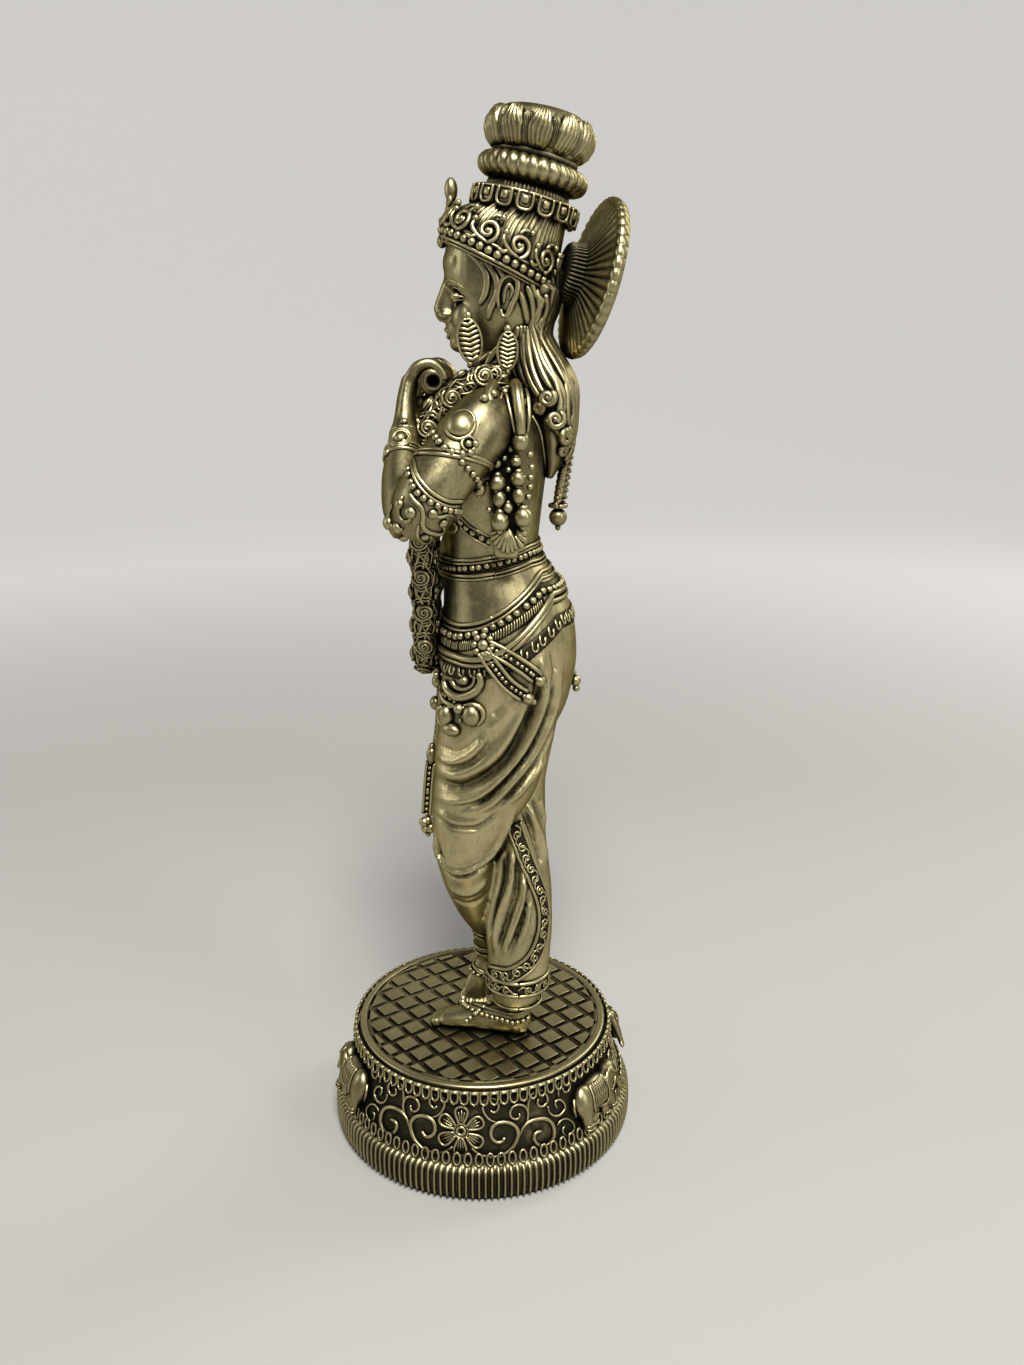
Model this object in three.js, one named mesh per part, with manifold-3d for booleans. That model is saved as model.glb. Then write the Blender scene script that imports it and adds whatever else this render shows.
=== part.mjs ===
// Krishna playing the flute: a brass figure on a round plinth, 330 mm high.
// Millimetres, +Z up. The origin is the centre of the plinth's underside, the figure
// faces -Y, and its left side is +X.
import * as THREE from 'three';
import { mergeVertices } from 'three/addons/utils/BufferGeometryUtils.js';
import Module from 'manifold-3d';

// Driving sizes of the plinth
const PLINTH_TOP = 37.6;
const PLINTH_TURN = -6.5; // degrees about Z, as the plinth stands under the figure
const RIB_PROFILE = [ // height, radius, depth of the flutes between the ribs
  [0, 51, 0.8],
  [4, 52.8, 1.2],
  [12.5, 52.2, 1.2],
];
const WALL_PROFILE = [ // height and radius of the plain wall above the ribs
  [10, 50.4],
  [17.5, 50.4],
  [18.5, 48.6],
  [31, 45.2],
  [33, 45.6],
];
const RIM_RADIUS = 44;
const WALL_SIDES = 32;
const RIB_COUNT = 32;
const TILE_SIDE = 5.2;
const TILE_HEIGHT = 0.7;
const TILE_TURN = 37; // degrees from +X to a tile's edge
const TILE_STEP_A = [4.0, -6.65];
const TILE_STEP_B = [5.4, 5.2];
const TILE_START = [-18.4, -19.3];
const TILE_FIELD = 40.5; // radius inside which the tiles lie
const TILE_ROOT = 0.6; // how deep a tile's body runs into the top
const TILE_ROWS = 14;
const FLOWER_HEIGHT = 24.7;
const FLOWER_REACH = 7.6;
const PETALS = 6;
const PETAL = { spread: 0.6, half: 0.36, width: 1.9, proud: 1.1 }; // the first two as shares of the reach
const FLOWER_CENTRE = 1.6;
const SCROLLS = [ // azimuth from the flower, height, radius, turning sense
  [14, 23.4, 4.4, 1],
  [27, 24.2, 4.2, -1],
];
const SCROLL = { steps: 6, turns: 1.1, shrink: 0.75, thick: 0.95 };
const ELEPHANT_AZIMUTH = 61; // degrees from a flower to an elephant's middle
const ELEPHANT = { // lengths along the wall from its middle, heights, and how far proud of the wall
  body: [[-3, 25, 0], [4, 8.2, 5.6]],
  skull: [[6.5, 27.5, 0.6], [3.6, 4.4, 4.4]],
  legs: [
    [[-8, 23, 1.2, 1.9], [-8, 16.4, 3.4, 1.6]],
    [[1, 23, 1.2, 1.9], [1, 16.4, 3.4, 1.6]],
  ],
  trunk: [[9.5, 28, 2, 1.8], [11.5, 23, 2.4, 1.4], [11.6, 18.5, 3.2, 1]],
};

// Driving sizes of the figure
const GAP = 0.3; // clearance between two pieces that touch
const SLIVER = 0.2; // facets thinner than this are merged where forms run into each other
const FOOT_LEVEL = PLINTH_TOP + GAP;
const CROWN_TILT = 26; // degrees that the crown's bead line falls to the back
const TOPKNOT_TILT = 14;
const BUN_TILT = 11;
const GARLAND_RADIUS = 4.5;
const FLUTE_HEIGHT = 254.3;
const FLUTE_FRONT = -12.4;
const FLUTE_RADIUS = 3.9;
const FLUTE_ENDS = [12, -50]; // X of its two ends
const FLUTE_BORE = [1.6, 6]; // radius and depth
const FLUTE_SIDES = 10;
const FLUTE_RING = { step: 0.35, from: 2.4, to: 2 }; // raised ring at its left end

// Driving sizes of the halo
const HALO_RADIUS = 23.2;
const HALO_CENTRE = [0, 34, 282.6];
const HALO_YAW = 14; // degrees that its face turns to the figure's left
const HALO_LEAN = 14.6; // degrees that its face turns up
const HALO_FLUTES = 22;
const HALO_RINGS = [ // distance in front of the rim's middle, radius, depth of the flutes
  [-1.6, HALO_RADIUS - 0.9, 0.7],
  [1.4, HALO_RADIUS, 0.7],
  [2.4, HALO_RADIUS - 2.2, 1],
  [5.6, 9, 0],
  [9.5, 8.4, 0],
];
const HALO_RIM = 2; // rings of the rim, notched by the flutes

// Trunk of the body, clothed below the waist: height, centre X, front Y, back Y, half width
const TRUNK = [
  [146, 1, -10, 24, 20],
  [158, 1, -12, 29, 24.5],
  [170, 1, -12.6, 31.4, 26],
  [180, 1, -12.5, 30.5, 25],
  [188, 1, -12, 26.5, 22.5],
  [196, 0.5, -11.5, 21.5, 20],
  [203.5, 0, -11, 18.2, 19],
  [205, 0, -11.8, 19.2, 20.2],
  [209, 0, -11.2, 18.4, 19.8],
  [214, 0, -11.5, 19.2, 21.4],
  [223, 0, -12.5, 20.5, 24.5],
  [233, 0, -13, 21.5, 27],
  [242, 0, -11.5, 21.5, 28],
  [248, 0, -7, 19, 24],
  [253, 0, -1.5, 17, 13],
];

// Limbs: a path of centres, each with a radius across and a radius front to back
const STANDING_LEG = [
  [-10, 8, 165, 13, 18],
  [-7, 9, 145, 13, 17],
  [-2, 9.8, 125, 12, 11.6],
  [3, 10.8, 106, 11, 10.9],
  [7.5, 12.6, 90, 10.8, 11.2],
  [10.5, 12.8, 76, 10.4, 11.2],
  [12, 12.8, 66, 9.6, 10.4],
  [12.6, 12.6, 62.5, 9.4, 10],
  [12.8, 12.6, 61.5, 10.2, 10.6],
  [12.9, 12.4, 57.4, 10, 10.4],
  [13, 11.8, 56.4, 7.9, 8.3],
  [13.1, 11.8, 51.2, 7.8, 8.1],
  [13.2, 12.6, 50.4, 3.8, 4],
  [13.6, 12.6, 43, 4.2, 4.6],
  [13.8, 12.4, 40, 4.2, 4.6],
];
const CROSSED_LEG = [
  [13, 8, 168, 12, 19],
  [13, 5.8, 150, 13, 18.5],
  [13.5, 2.2, 133, 13, 17],
  [14, -3, 118, 12, 12.8],
  [13, -5.1, 106, 11, 9.6],
  [10, -4, 95, 9.6, 8.4],
  [5, -1.5, 83, 8.1, 7],
  [-1, 1.2, 72, 6, 4.8],
  [-6, 1.2, 63, 4.3, 3.7],
  [-8.3, 1.5, 55, 3.5, 3.6],
];
const STANDING_FOOT = [
  [14.4, 15.4, 40, 2, 2],
  [14, 13.6, 41, 3.8, 3.9],
  [13.2, 10, 43, 4.2, 5.6],
  [11.4, 4, 42.2, 4.4, 4.8],
  [9.2, -3, 41, 4.8, 3.6],
  [7.8, -9.5, 40.1, 5, 2.8],
  [6.8, -14, 39.5, 4.6, 2.1],
  [6, -17.2, 39, 2.6, 1.3],
];
const CROSSED_FOOT = [
  [-8.3, 1.5, 56, 3.4, 3.6],
  [-7.5, 0.4, 50, 3.3, 4.3],
  [-6.5, -1.6, 44.5, 3, 4.9],
  [-5.4, -2.7, 40.5, 2.5, 5],
  [-4.8, -3, 37.4, 1.8, 4.3],
];
const UPPER_ARM = [ // with an armlet at the top and another above the elbow
  [22, 6, 246, 8.5, 8.5],
  [28.5, 2.5, 243.8, 9.5, 9.5],
  [32.3, -1.5, 239.6, 10.4, 10.4],
  [34.2, -4.2, 235.8, 10.3, 10.3],
  [35.4, -6, 233.5, 9.2, 9.2],
  [37.4, -10.8, 227, 9.2, 9.2],
  [38.2, -13.2, 222, 9.8, 9.8],
  [37.6, -16.2, 217.8, 8.8, 8.8],
  [36.5, -18.4, 215, 6.4, 6.4],
];
const FOREARM = [
  [37, -17, 215, 6.4, 6.4],
  [33, -19.8, 221, 6.4, 6.4],
  [26, -20.9, 228, 5.4, 5.4],
  [20, -20.6, 234, 5.4, 5.4],
  [15.5, -20.6, 239, 5.2, 5.2],
  [13.6, -20.6, 241.4, 3.9, 3.6],
  [11.5, -20.8, 244, 4.6, 3],
  [9, -20.4, 249.5, 5.4, 2.9],
  [7.5, -19.4, 255, 5.4, 2.7],
];
const FINGER_ARC = [ // Y and Z of one finger bent over the flute
  [-19.6, 252],
  [-17.2, 258],
  [-12.4, 259.6],
  [-9.4, 256.4],
];
const FINGER_RADIUS = 1.42;
const FINGER_STEP = 2.9;
const LEFT_HAND_X = 7;
const RIGHT_HAND_X = -28;
const RIGHT_ELBOW_SHIFT = 3; // the right arm reaches further along the flute
const THUMB = [ // from the middle of the hand
  [3, -20, 247, 2, 2],
  [2.5, -15.5, 248.4, 1.8, 1.8],
  [1, -10.6, 250, 1.5, 1.5],
];

// Head, hair and crown
const NECK = [
  [0, 7, 247, 10, 9.5],
  [0, 7.5, 257, 7.8, 8.2],
  [0, 8.5, 267, 7.8, 9],
];
const HEAD = [ // height, front Y, back Y, half width
  [261.6, -6.5, 2, 3.6],
  [264, -8.8, 7, 7],
  [268, -9.6, 14, 10.4],
  [273, -10.2, 21, 12.4],
  [278, -9.8, 24, 13.2],
  [284, -10.2, 25.5, 13.8],
  [291, -9.6, 26, 14],
  [297, -6, 26, 13],
];
const NOSE = [
  [0, -8.6, 281, 1, 1.2],
  [0, -9.8, 277, 1.3, 1.8],
  [0, -11.4, 273.4, 2.1, 2.1],
  [0, -9.8, 271.6, 1.7, 1.2],
];
// Small rounded forms: centre, half sizes and turn in degrees about X, Y and Z
const MOUTH = [[0, -9.2, 267.9], [2.9, 1.3, 1.2], [0, 0, 0]];
const LEFT_EYE = [[5, -8, 278], [2.6, 1.6, 1.3], [0, 0, 18]];
const EAR = [[14, 9, 276.5], [1.8, 3, 6.2], [8, 0, 0]];
const EAR_JEWELS = [
  [[11.5, -1.5, 265.5], [2.2, 4, 7], [-6, 0, 0]],
  [[12.4, 8, 262.5], [2.4, 3.2, 5.4], [0, 0, 0]],
];
const CREST = [
  [[0, -8.6, 296.4], [2.6, 2.2, 4], [0, 0, 0]],
  [[0, -6.4, 301.6], [3.2, 3.4, 4], [0, 0, 0]],
  [[0, -7, 306.8], [2.4, 2.3, 4], [0, 0, 0]],
];
const HEADDRESS = [ // centre Y, centre Z, tilt, half width, half depth, depth of its lobes
  [5.6, 285.2, CROWN_TILT, 14.6, 17.6, 0],
  [6.1, 286.4, CROWN_TILT, 17.3, 20.1, 0],
  [9, 294.2, 24, 16.6, 18.6, 1.4],
  [9.7, 295.8, 22, 14.8, 16.8, 0.8],
  [12, 299.6, 18, 13.4, 14.8, 0.6],
  [13.8, 301.2, TOPKNOT_TILT, 14.4, 14.8, 0.8],
  [14.4, 303, TOPKNOT_TILT, 15.2, 15.6, 1.2],
  [15.3, 306.6, TOPKNOT_TILT, 12.8, 12.8, 0],
  [15.9, 308.8, TOPKNOT_TILT, 15.9, 15.9, 0.9],
  [16.8, 312.9, TOPKNOT_TILT, 15.8, 15.8, 0.9],
  [17.4, 315.6, TOPKNOT_TILT, 12.2, 12.2, 0],
  [18.5, 319.6, BUN_TILT, 14.6, 14.6, 0.9],
  [19, 323, BUN_TILT, 16, 16, 1],
  [19.4, 326, BUN_TILT, 15, 15, 0.9],
  [19.5, 327.2, BUN_TILT, 12.4, 12.4, 0.5],
];
const HEADDRESS_LOBES = 9;
const HAIR = [ // height, middle Y, half width, half thickness at the middle, depth of the locks
  [233, 23, 17, 7.2, 1.4],
  [241, 22.4, 19.5, 9, 1.4],
  [251, 21.2, 17, 9.8, 1.4],
  [261, 16.5, 12.5, 7.6, 1.2],
  [266, 14.4, 10, 6.8, 1],
  [271, 15, 10, 6.8, 1],
  [281, 19.5, 12, 5.4, 0.8],
];
const HAIR_LOCKS = 5;
const BRAID = [
  [0, 25.6, 236, 4, 4],
  [0, 25, 224, 3, 3.4],
  [0, 23.6, 213, 2.2, 3.4],
];
const BRAID_BELL = [[0, 24.8, 213.4], [3.2, 3.4, 3.6], [0, 0, 0]];
const GARLAND = [ // X, Y, Z of its left half, from the nape of the neck to the lowest point
  [12, 9, 256],
  [12.5, 0, 254],
  [13, -8.5, 248],
  [14, -14, 240],
  [14, -16.6, 229],
  [12.5, -16.8, 214],
  [11, -16.5, 198],
  [9.6, -16.5, 184],
  [6.4, -16.8, 172],
  [0, -17, 167.4],
];
const GARLAND_STEPS = 17;
const GARLAND_SWELL = [0.9, 1.06]; // its radius at one flower and at the next

// Ornament hung over each shoulder
const TASSEL_BUD = [7.5, 2.9, 3.9]; // half sizes of a bell bud
const TASSEL_ROWS = 3;
const TASSEL_TOP = [26.5, 8.8, 230]; // centre of its top row
const TASSEL_DROP = [-1.6, 0, -7.4]; // from one row to the next
const TASSEL_SPREAD = 3; // from its middle line to a bud
const TASSEL_FAN = [
  [29, 8.8, 214, 2, 3],
  [26.5, 8.8, 205, 2.4, 6],
];
const FRONT_TONGUE = [
  [24, 5.5, 254, 1.6, 3.4],
  [32, 4.6, 246, 1.6, 3.2],
  [32.8, 3.6, 234, 1.3, 2.2],
];
const BACK_TONGUE = [
  [24, 10.5, 254, 1.6, 3.4],
  [32, 12.6, 246, 1.6, 3.2],
  [32.8, 13.6, 234, 1.3, 2.2],
];

// Belt, sash and the folds of cloth over the left thigh
const BELT = { front: 176.5, back: 191, tall: 12, proud: 1.4, inset: -3, sides: 14 };
const FOLD_STEPS = 6;
const UPPER_FOLD = {
  path: [[14, 30, 166], [24, 22, 150], [26.5, 8, 136], [25, -8, 126], [14, -16, 124]],
  radius: 2,
};
const LOWER_FOLD = {
  path: [[10, 27, 150], [20, 19, 137], [25.5, 6, 124], [24, -8, 113], [12, -17, 110]],
  radius: 1.9,
};
const RIBBONS = [
  [[24, -4, 181, 1.5, 2], [27.5, 5, 172, 1.5, 2], [28.4, 11, 165, 1.5, 2]],
  [[24, -4, 180, 1.5, 2], [27.6, 1.5, 169, 1.5, 2], [28.2, 7, 160, 1.5, 2]],
];
const SASH_LOOPS = [
  [[10, -9.8, 165.5], [6, 4.4, 4.2], [0, 0, 20]],
  [[10, -10.2, 156.5], [6, 4.2, 5], [0, 0, 20]],
  [[3, -11, 151], [4, 3.4, 5], [0, 0, 0]],
];
const BACK_BUD = [[0, 30.4, 159.5], [2, 2.6, 2], [0, 0, 0]];
const FRONT_STRAP = [
  [2, -12, 158, 1.8, 1.8],
  [2, -13, 145, 2.2, 1.8],
  [3, -15, 135, 2.6, 1.8],
  [3, -18, 124, 2.2, 2],
  [3, -19.4, 113, 2.8, 2.6],
  [3, -19, 109.5, 1.8, 1.8],
];

const wasm = await Module();
wasm.setup();

const radians = THREE.MathUtils.degToRad;

// A geometry's triangles as a solid, with its shared corners merged
function toSolid(geometry) {
  geometry.deleteAttribute('normal');
  geometry.deleteAttribute('uv');
  const merged = mergeVertices(geometry, 1e-3);
  const index = merged.index.array;
  const kept = [];
  for (let i = 0; i < index.length; i += 3) {
    const [a, b, c] = [index[i], index[i + 1], index[i + 2]];
    if (a !== b && b !== c && c !== a) kept.push(a, b, c);
  }
  return new wasm.Manifold(new wasm.Mesh({
    numProp: 3,
    vertProperties: new Float32Array(merged.attributes.position.array),
    triVerts: new Uint32Array(kept),
  }));
}

function toMesh(name, solid, material) {
  const { vertProperties, triVerts } = solid.getMesh();
  const geometry = new THREE.BufferGeometry();
  geometry.setAttribute('position', new THREE.BufferAttribute(new Float32Array(vertProperties), 3));
  geometry.setIndex(new THREE.BufferAttribute(new Uint32Array(triVerts), 1));
  geometry.computeVertexNormals();
  const mesh = new THREE.Mesh(geometry, material);
  mesh.name = name;
  return mesh;
}

function mirrored(solid) {
  return solid.mirror([1, 0, 0]);
}

// A closed skin over a stack of sections: the rings of a capped cylinder, moved onto them.
// Angle 0 is the section's front and a quarter turn is the figure's left.
function skin(sides, levels, place) {
  const geometry = new THREE.CylinderGeometry(1, 1, 1, sides, levels - 1);
  const position = geometry.attributes.position;
  const point = new THREE.Vector3();
  for (let i = 0; i < position.count; i += 1) {
    const level = Math.round((position.getY(i) + 0.5) * (levels - 1));
    const angle = Math.atan2(position.getX(i), position.getZ(i));
    const reach = Math.hypot(position.getX(i), position.getZ(i)) > 0.5 ? 1 : 0;
    place(point, level, angle, reach);
    position.setXYZ(i, point.x, point.y, point.z);
  }
  return toSolid(geometry);
}

// Sections across a path, each an ellipse square to it
function limb(stations, sides, front = new THREE.Vector3(0, -1, 0)) {
  const centres = stations.map(([x, y, z]) => new THREE.Vector3(x, y, z));
  const frames = centres.map((centre, i) => {
    const before = centres[Math.max(i - 1, 0)];
    const after = centres[Math.min(i + 1, centres.length - 1)];
    const along = after.clone().sub(before).normalize();
    const ahead = front.clone().addScaledVector(along, -front.dot(along)).normalize();
    return { centre, ahead, side: along.clone().cross(ahead) };
  });
  return skin(sides, stations.length, (point, level, angle, reach) => {
    const { centre, ahead, side } = frames[level];
    point.copy(centre);
    point.addScaledVector(side, reach * stations[level][3] * Math.sin(angle));
    point.addScaledVector(ahead, reach * stations[level][4] * Math.cos(angle));
  });
}

// Level rings leaning back by their own tilt, with lobes where they are given
function tilted(rings, sides, lobes) {
  return skin(sides, rings.length, (point, level, angle, reach) => {
    const [y, z, tilt, halfWidth, halfDepth, groove] = rings[level];
    const lobe = 1 - (groove / halfDepth) * (0.5 - 0.5 * Math.cos(lobes * angle));
    const forward = reach * lobe * halfDepth * Math.cos(angle);
    const lean = radians(tilt);
    point.set(
      reach * lobe * halfWidth * Math.sin(angle),
      y - forward * Math.cos(lean),
      z + forward * Math.sin(lean),
    );
  });
}

function blob([[x, y, z], [rx, ry, rz], turn], across, down) {
  const geometry = new THREE.SphereGeometry(1, across, down);
  geometry.rotateX(Math.PI / 2);
  geometry.scale(rx, ry, rz);
  geometry.rotateX(radians(turn[0]));
  geometry.rotateY(radians(turn[1]));
  geometry.rotateZ(radians(turn[2]));
  geometry.translate(x, y, z);
  return toSolid(geometry);
}

// Trunk as a section at any height, for the belts that lie on it
function trunkAt(height) {
  const last = TRUNK.length - 1;
  let i = 0;
  while (i < last - 1 && TRUNK[i + 1][0] < height) i += 1;
  const t = THREE.MathUtils.clamp((height - TRUNK[i][0]) / (TRUNK[i + 1][0] - TRUNK[i][0]), 0, 1);
  return TRUNK[i].map((value, k) => THREE.MathUtils.lerp(value, TRUNK[i + 1][k], t));
}

function trunkPoint(height, angle, proud) {
  const [, x, front, back, halfWidth] = trunkAt(height);
  const halfDepth = (back - front) / 2;
  return new THREE.Vector3(
    x + (halfWidth + proud) * Math.sin(angle),
    (front + back) / 2 - (halfDepth + proud) * Math.cos(angle),
    height,
  );
}

function trunk() {
  return skin(14, TRUNK.length, (point, level, angle, reach) => {
    const [height, x, front, back, halfWidth] = TRUNK[level];
    const halfDepth = (back - front) / 2;
    point.set(
      x + reach * halfWidth * Math.sin(angle),
      (front + back) / 2 - reach * halfDepth * Math.cos(angle),
      height,
    );
  });
}

// A band round the body that rises from its front height to its back height
function belt({ front, back, tall, proud, inset, sides }) {
  const corners = [[tall / 2, inset], [tall / 2, proud], [-tall / 2, proud], [-tall / 2, inset]];
  const geometry = new THREE.TorusGeometry(2, 1, corners.length, sides);
  const position = geometry.attributes.position;
  for (let i = 0; i < position.count; i += 1) {
    const corner = Math.floor(i / (sides + 1)) % corners.length;
    const angle = -((i % (sides + 1)) / sides) * 2 * Math.PI;
    const middle = THREE.MathUtils.lerp(front, back, 0.5 - 0.5 * Math.cos(angle));
    const [lift, out] = corners[corner];
    const at = trunkPoint(middle + lift, angle, out);
    position.setXYZ(i, at.x, at.y, at.z);
  }
  return toSolid(geometry);
}

// Cloth folds that lie over a thigh
function fold({ path, radius }) {
  const curve = new THREE.CatmullRomCurve3(path.map((p) => new THREE.Vector3(...p)));
  const stations = Array.from({ length: FOLD_STEPS + 1 }, (_, i) => {
    const at = curve.getPoint(i / FOLD_STEPS);
    const taper = 0.35 + 0.65 * Math.sin((Math.PI * i) / FOLD_STEPS);
    return [at.x, at.y, at.z, radius * taper, radius * taper];
  });
  return limb(stations, 4, new THREE.Vector3(1, 0, 0));
}

function legsAndCloth() {
  return [
    limb(STANDING_LEG, 10),
    limb(CROSSED_LEG, 10),
    limb(STANDING_FOOT, 8, new THREE.Vector3(0, 0, 1)),
    limb(CROSSED_FOOT, 8),
    fold(UPPER_FOLD),
    fold(LOWER_FOLD),
  ];
}

function arm(elbowShift, handX) {
  const shift = handX - LEFT_HAND_X;
  const last = FOREARM.length - 1;
  const upper = UPPER_ARM.map(([x, ...rest], i) => (
    [x + elbowShift * (i / (UPPER_ARM.length - 1)), ...rest]));
  const lower = FOREARM.map(([x, ...rest], i) => (
    [x + THREE.MathUtils.lerp(elbowShift, shift, i / last), ...rest]));
  const fingers = [-1.5, -0.5, 0.5, 1.5].map((k) => limb(FINGER_ARC.map(([y, z]) => (
    [handX + k * FINGER_STEP, y, z, FINGER_RADIUS, FINGER_RADIUS])), 4, new THREE.Vector3(1, 0, 0)));
  const thumb = limb(THUMB.map(([x, ...rest]) => [handX + x, ...rest]), 4);
  return [limb(upper, 9), limb(lower, 7), ...fingers, thumb];
}

function head() {
  const skull = skin(14, HEAD.length, (point, level, angle, reach) => {
    const [height, front, back, halfWidth] = HEAD[level];
    const halfDepth = (back - front) / 2;
    point.set(
      reach * halfWidth * Math.sin(angle),
      (front + back) / 2 - reach * halfDepth * Math.cos(angle),
      height,
    );
  });
  const leftEye = blob(LEFT_EYE, 6, 3);
  return [skull, limb(NOSE, 6), blob(MOUTH, 6, 3), leftEye, mirrored(leftEye)];
}

function earAndJewels() {
  return [EAR, ...EAR_JEWELS].map((form) => blob(form, 5, 3));
}

// Crown band, hair drawn up over the skull, stud collar, ribbed roll and lotus bun
function headdress() {
  const crest = CREST.map((form) => blob(form, 6, 4));
  return [tilted(HEADDRESS, HEADDRESS_LOBES * 2, HEADDRESS_LOBES), ...crest];
}

// Locks that part from the nape and lie over the back
function hair() {
  return skin(HAIR_LOCKS * 4, HAIR.length, (point, level, angle, reach) => {
    const [height, middle, halfWidth, thickness, groove] = HAIR[level];
    const lock = groove * (0.5 - 0.5 * Math.cos(HAIR_LOCKS * 2 * angle));
    point.set(
      reach * (halfWidth - lock) * Math.sin(angle),
      middle - reach * (thickness - lock) * Math.cos(angle),
      height,
    );
  });
}

// Braid of beads with a bell, down the middle of the back
function braid() {
  return [limb(BRAID, 6), blob(BRAID_BELL, 6, 4)];
}

function garland() {
  const left = GARLAND.map((p) => new THREE.Vector3(...p));
  const right = GARLAND.slice(0, -1).reverse().map(([x, y, z]) => new THREE.Vector3(-x, y, z));
  const curve = new THREE.CatmullRomCurve3([...left, ...right]);
  const stations = Array.from({ length: GARLAND_STEPS + 1 }, (_, i) => {
    const at = curve.getPoint(i / GARLAND_STEPS);
    const radius = GARLAND_RADIUS * GARLAND_SWELL[i % 2];
    return [at.x, at.y, at.z, radius, radius];
  });
  return [limb(stations, 5)];
}

// Hanging ornament over a shoulder: two tongues, bell buds in one column or two, and a fan
function shoulderTassel(columns) {
  const [x, y, z] = TASSEL_TOP;
  const [dx, dy, dz] = TASSEL_DROP;
  const buds = [];
  for (let row = 0; row < TASSEL_ROWS; row += 1) {
    for (const column of columns) {
      const centre = [x + row * dx, y + row * dy + column * TASSEL_SPREAD, z + row * dz];
      buds.push(blob([centre, TASSEL_BUD, [0, 0, 0]], 5, 3));
    }
  }
  return [...buds, limb(FRONT_TONGUE, 4), limb(BACK_TONGUE, 4), limb(TASSEL_FAN, 6)];
}

// Knots and ends of the sash at the front and over the left hip
function sash() {
  return [
    ...RIBBONS.map((ribbon) => limb(ribbon, 5)),
    ...SASH_LOOPS.map((loop) => blob(loop, 6, 4)),
    blob(BACK_BUD, 5, 3),
    limb(FRONT_STRAP, 5),
  ];
}

function figureSolid() {
  const leftSide = [...arm(0, LEFT_HAND_X), ...earAndJewels(), ...shoulderTassel([-1, 1])];
  const rightArm = arm(RIGHT_ELBOW_SHIFT, -RIGHT_HAND_X);
  const rightSide = [...rightArm, ...earAndJewels(), ...shoulderTassel([0])];
  const parts = [
    trunk(),
    ...legsAndCloth(),
    limb(NECK, 10),
    ...head(),
    ...headdress(),
    hair(),
    ...braid(),
    ...garland(),
    ...sash(),
    belt(BELT),
    ...leftSide,
    ...rightSide.map(mirrored),
  ];
  const whole = wasm.Manifold.union(parts);
  return whole.simplify(SLIVER).trimByPlane([0, 0, 1], FOOT_LEVEL);
}

// The flute, or with a gap the room that the hands leave for it
function fluteSolid(gap = 0) {
  const [near, far] = FLUTE_ENDS;
  const [bore, depth] = FLUTE_BORE;
  const radius = FLUTE_RADIUS + gap;
  const length = near - far;
  const { step, from, to } = FLUTE_RING;
  const profile = [
    [0, 0],
    [radius - step, 0],
    [radius - step, length - from],
    [radius, length - to],
    [radius, length],
    ...(gap ? [[0, length]] : [[bore, length], [bore, length - depth], [0, length - depth]]),
  ];
  const geometry = new THREE.LatheGeometry(profile.map(([r, y]) => new THREE.Vector2(r, y)), FLUTE_SIDES);
  geometry.rotateZ(-Math.PI / 2);
  geometry.translate(far, FLUTE_FRONT, FLUTE_HEIGHT);
  return toSolid(geometry);
}

// The fluted disc on its hub, or with a gap the room that the head leaves for it
function haloSolid(gap = 0) {
  const solid = skin(HALO_FLUTES * 2, HALO_RINGS.length, (point, level, angle, reach) => {
    const [forward, radius, groove] = HALO_RINGS[level];
    const notch = groove * (0.5 - 0.5 * Math.cos(HALO_FLUTES * angle));
    const onRim = level < HALO_RIM;
    const r = reach * (radius + gap - (onRim ? notch : 0));
    const push = onRim ? 0 : notch;
    point.set(-r * Math.sin(angle), -(forward + gap - push), r * Math.cos(angle));
  });
  return solid
    .rotate([HALO_LEAN * -1, 0, 0])
    .rotate([0, 0, HALO_YAW])
    .translate(HALO_CENTRE);
}

// Plinth
function tile(x, y) {
  const half = TILE_SIDE / 2;
  const shape = new THREE.Shape([[-half, -half], [half, -half], [half, half], [-half, half]]
    .map(([u, v]) => new THREE.Vector2(u, v)));
  const depth = TILE_HEIGHT + TILE_ROOT;
  const geometry = new THREE.ExtrudeGeometry(shape, { depth, bevelEnabled: false });
  geometry.rotateZ(radians(TILE_TURN));
  geometry.translate(x, y, PLINTH_TOP - depth);
  return toSolid(geometry);
}

function tiles() {
  const placed = [];
  const reach = TILE_FIELD - TILE_SIDE * Math.SQRT1_2;
  for (let a = -TILE_ROWS; a <= TILE_ROWS; a += 1) {
    for (let b = -TILE_ROWS; b <= TILE_ROWS; b += 1) {
      const x = TILE_START[0] + a * TILE_STEP_A[0] + b * TILE_STEP_B[0];
      const y = TILE_START[1] + a * TILE_STEP_A[1] + b * TILE_STEP_B[1];
      if (Math.hypot(x, y) < reach) placed.push(tile(x, y));
    }
  }
  return placed;
}

// Radius of the plinth's wall at a height in its scroll band
function wallRadius(height) {
  const [[low, lowRadius], [high, highRadius]] = WALL_PROFILE.slice(2, 4);
  return THREE.MathUtils.mapLinear(height, low, high, lowRadius, highRadius);
}

// Degrees round the wall that a length along it takes
function aroundWall(length, height) {
  return THREE.MathUtils.radToDeg(length / wallRadius(height));
}

function onWall(azimuth, height, proud) {
  const angle = radians(azimuth + PLINTH_TURN);
  const radius = wallRadius(height) + proud;
  return [radius * Math.cos(angle), radius * Math.sin(angle), height];
}

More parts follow.
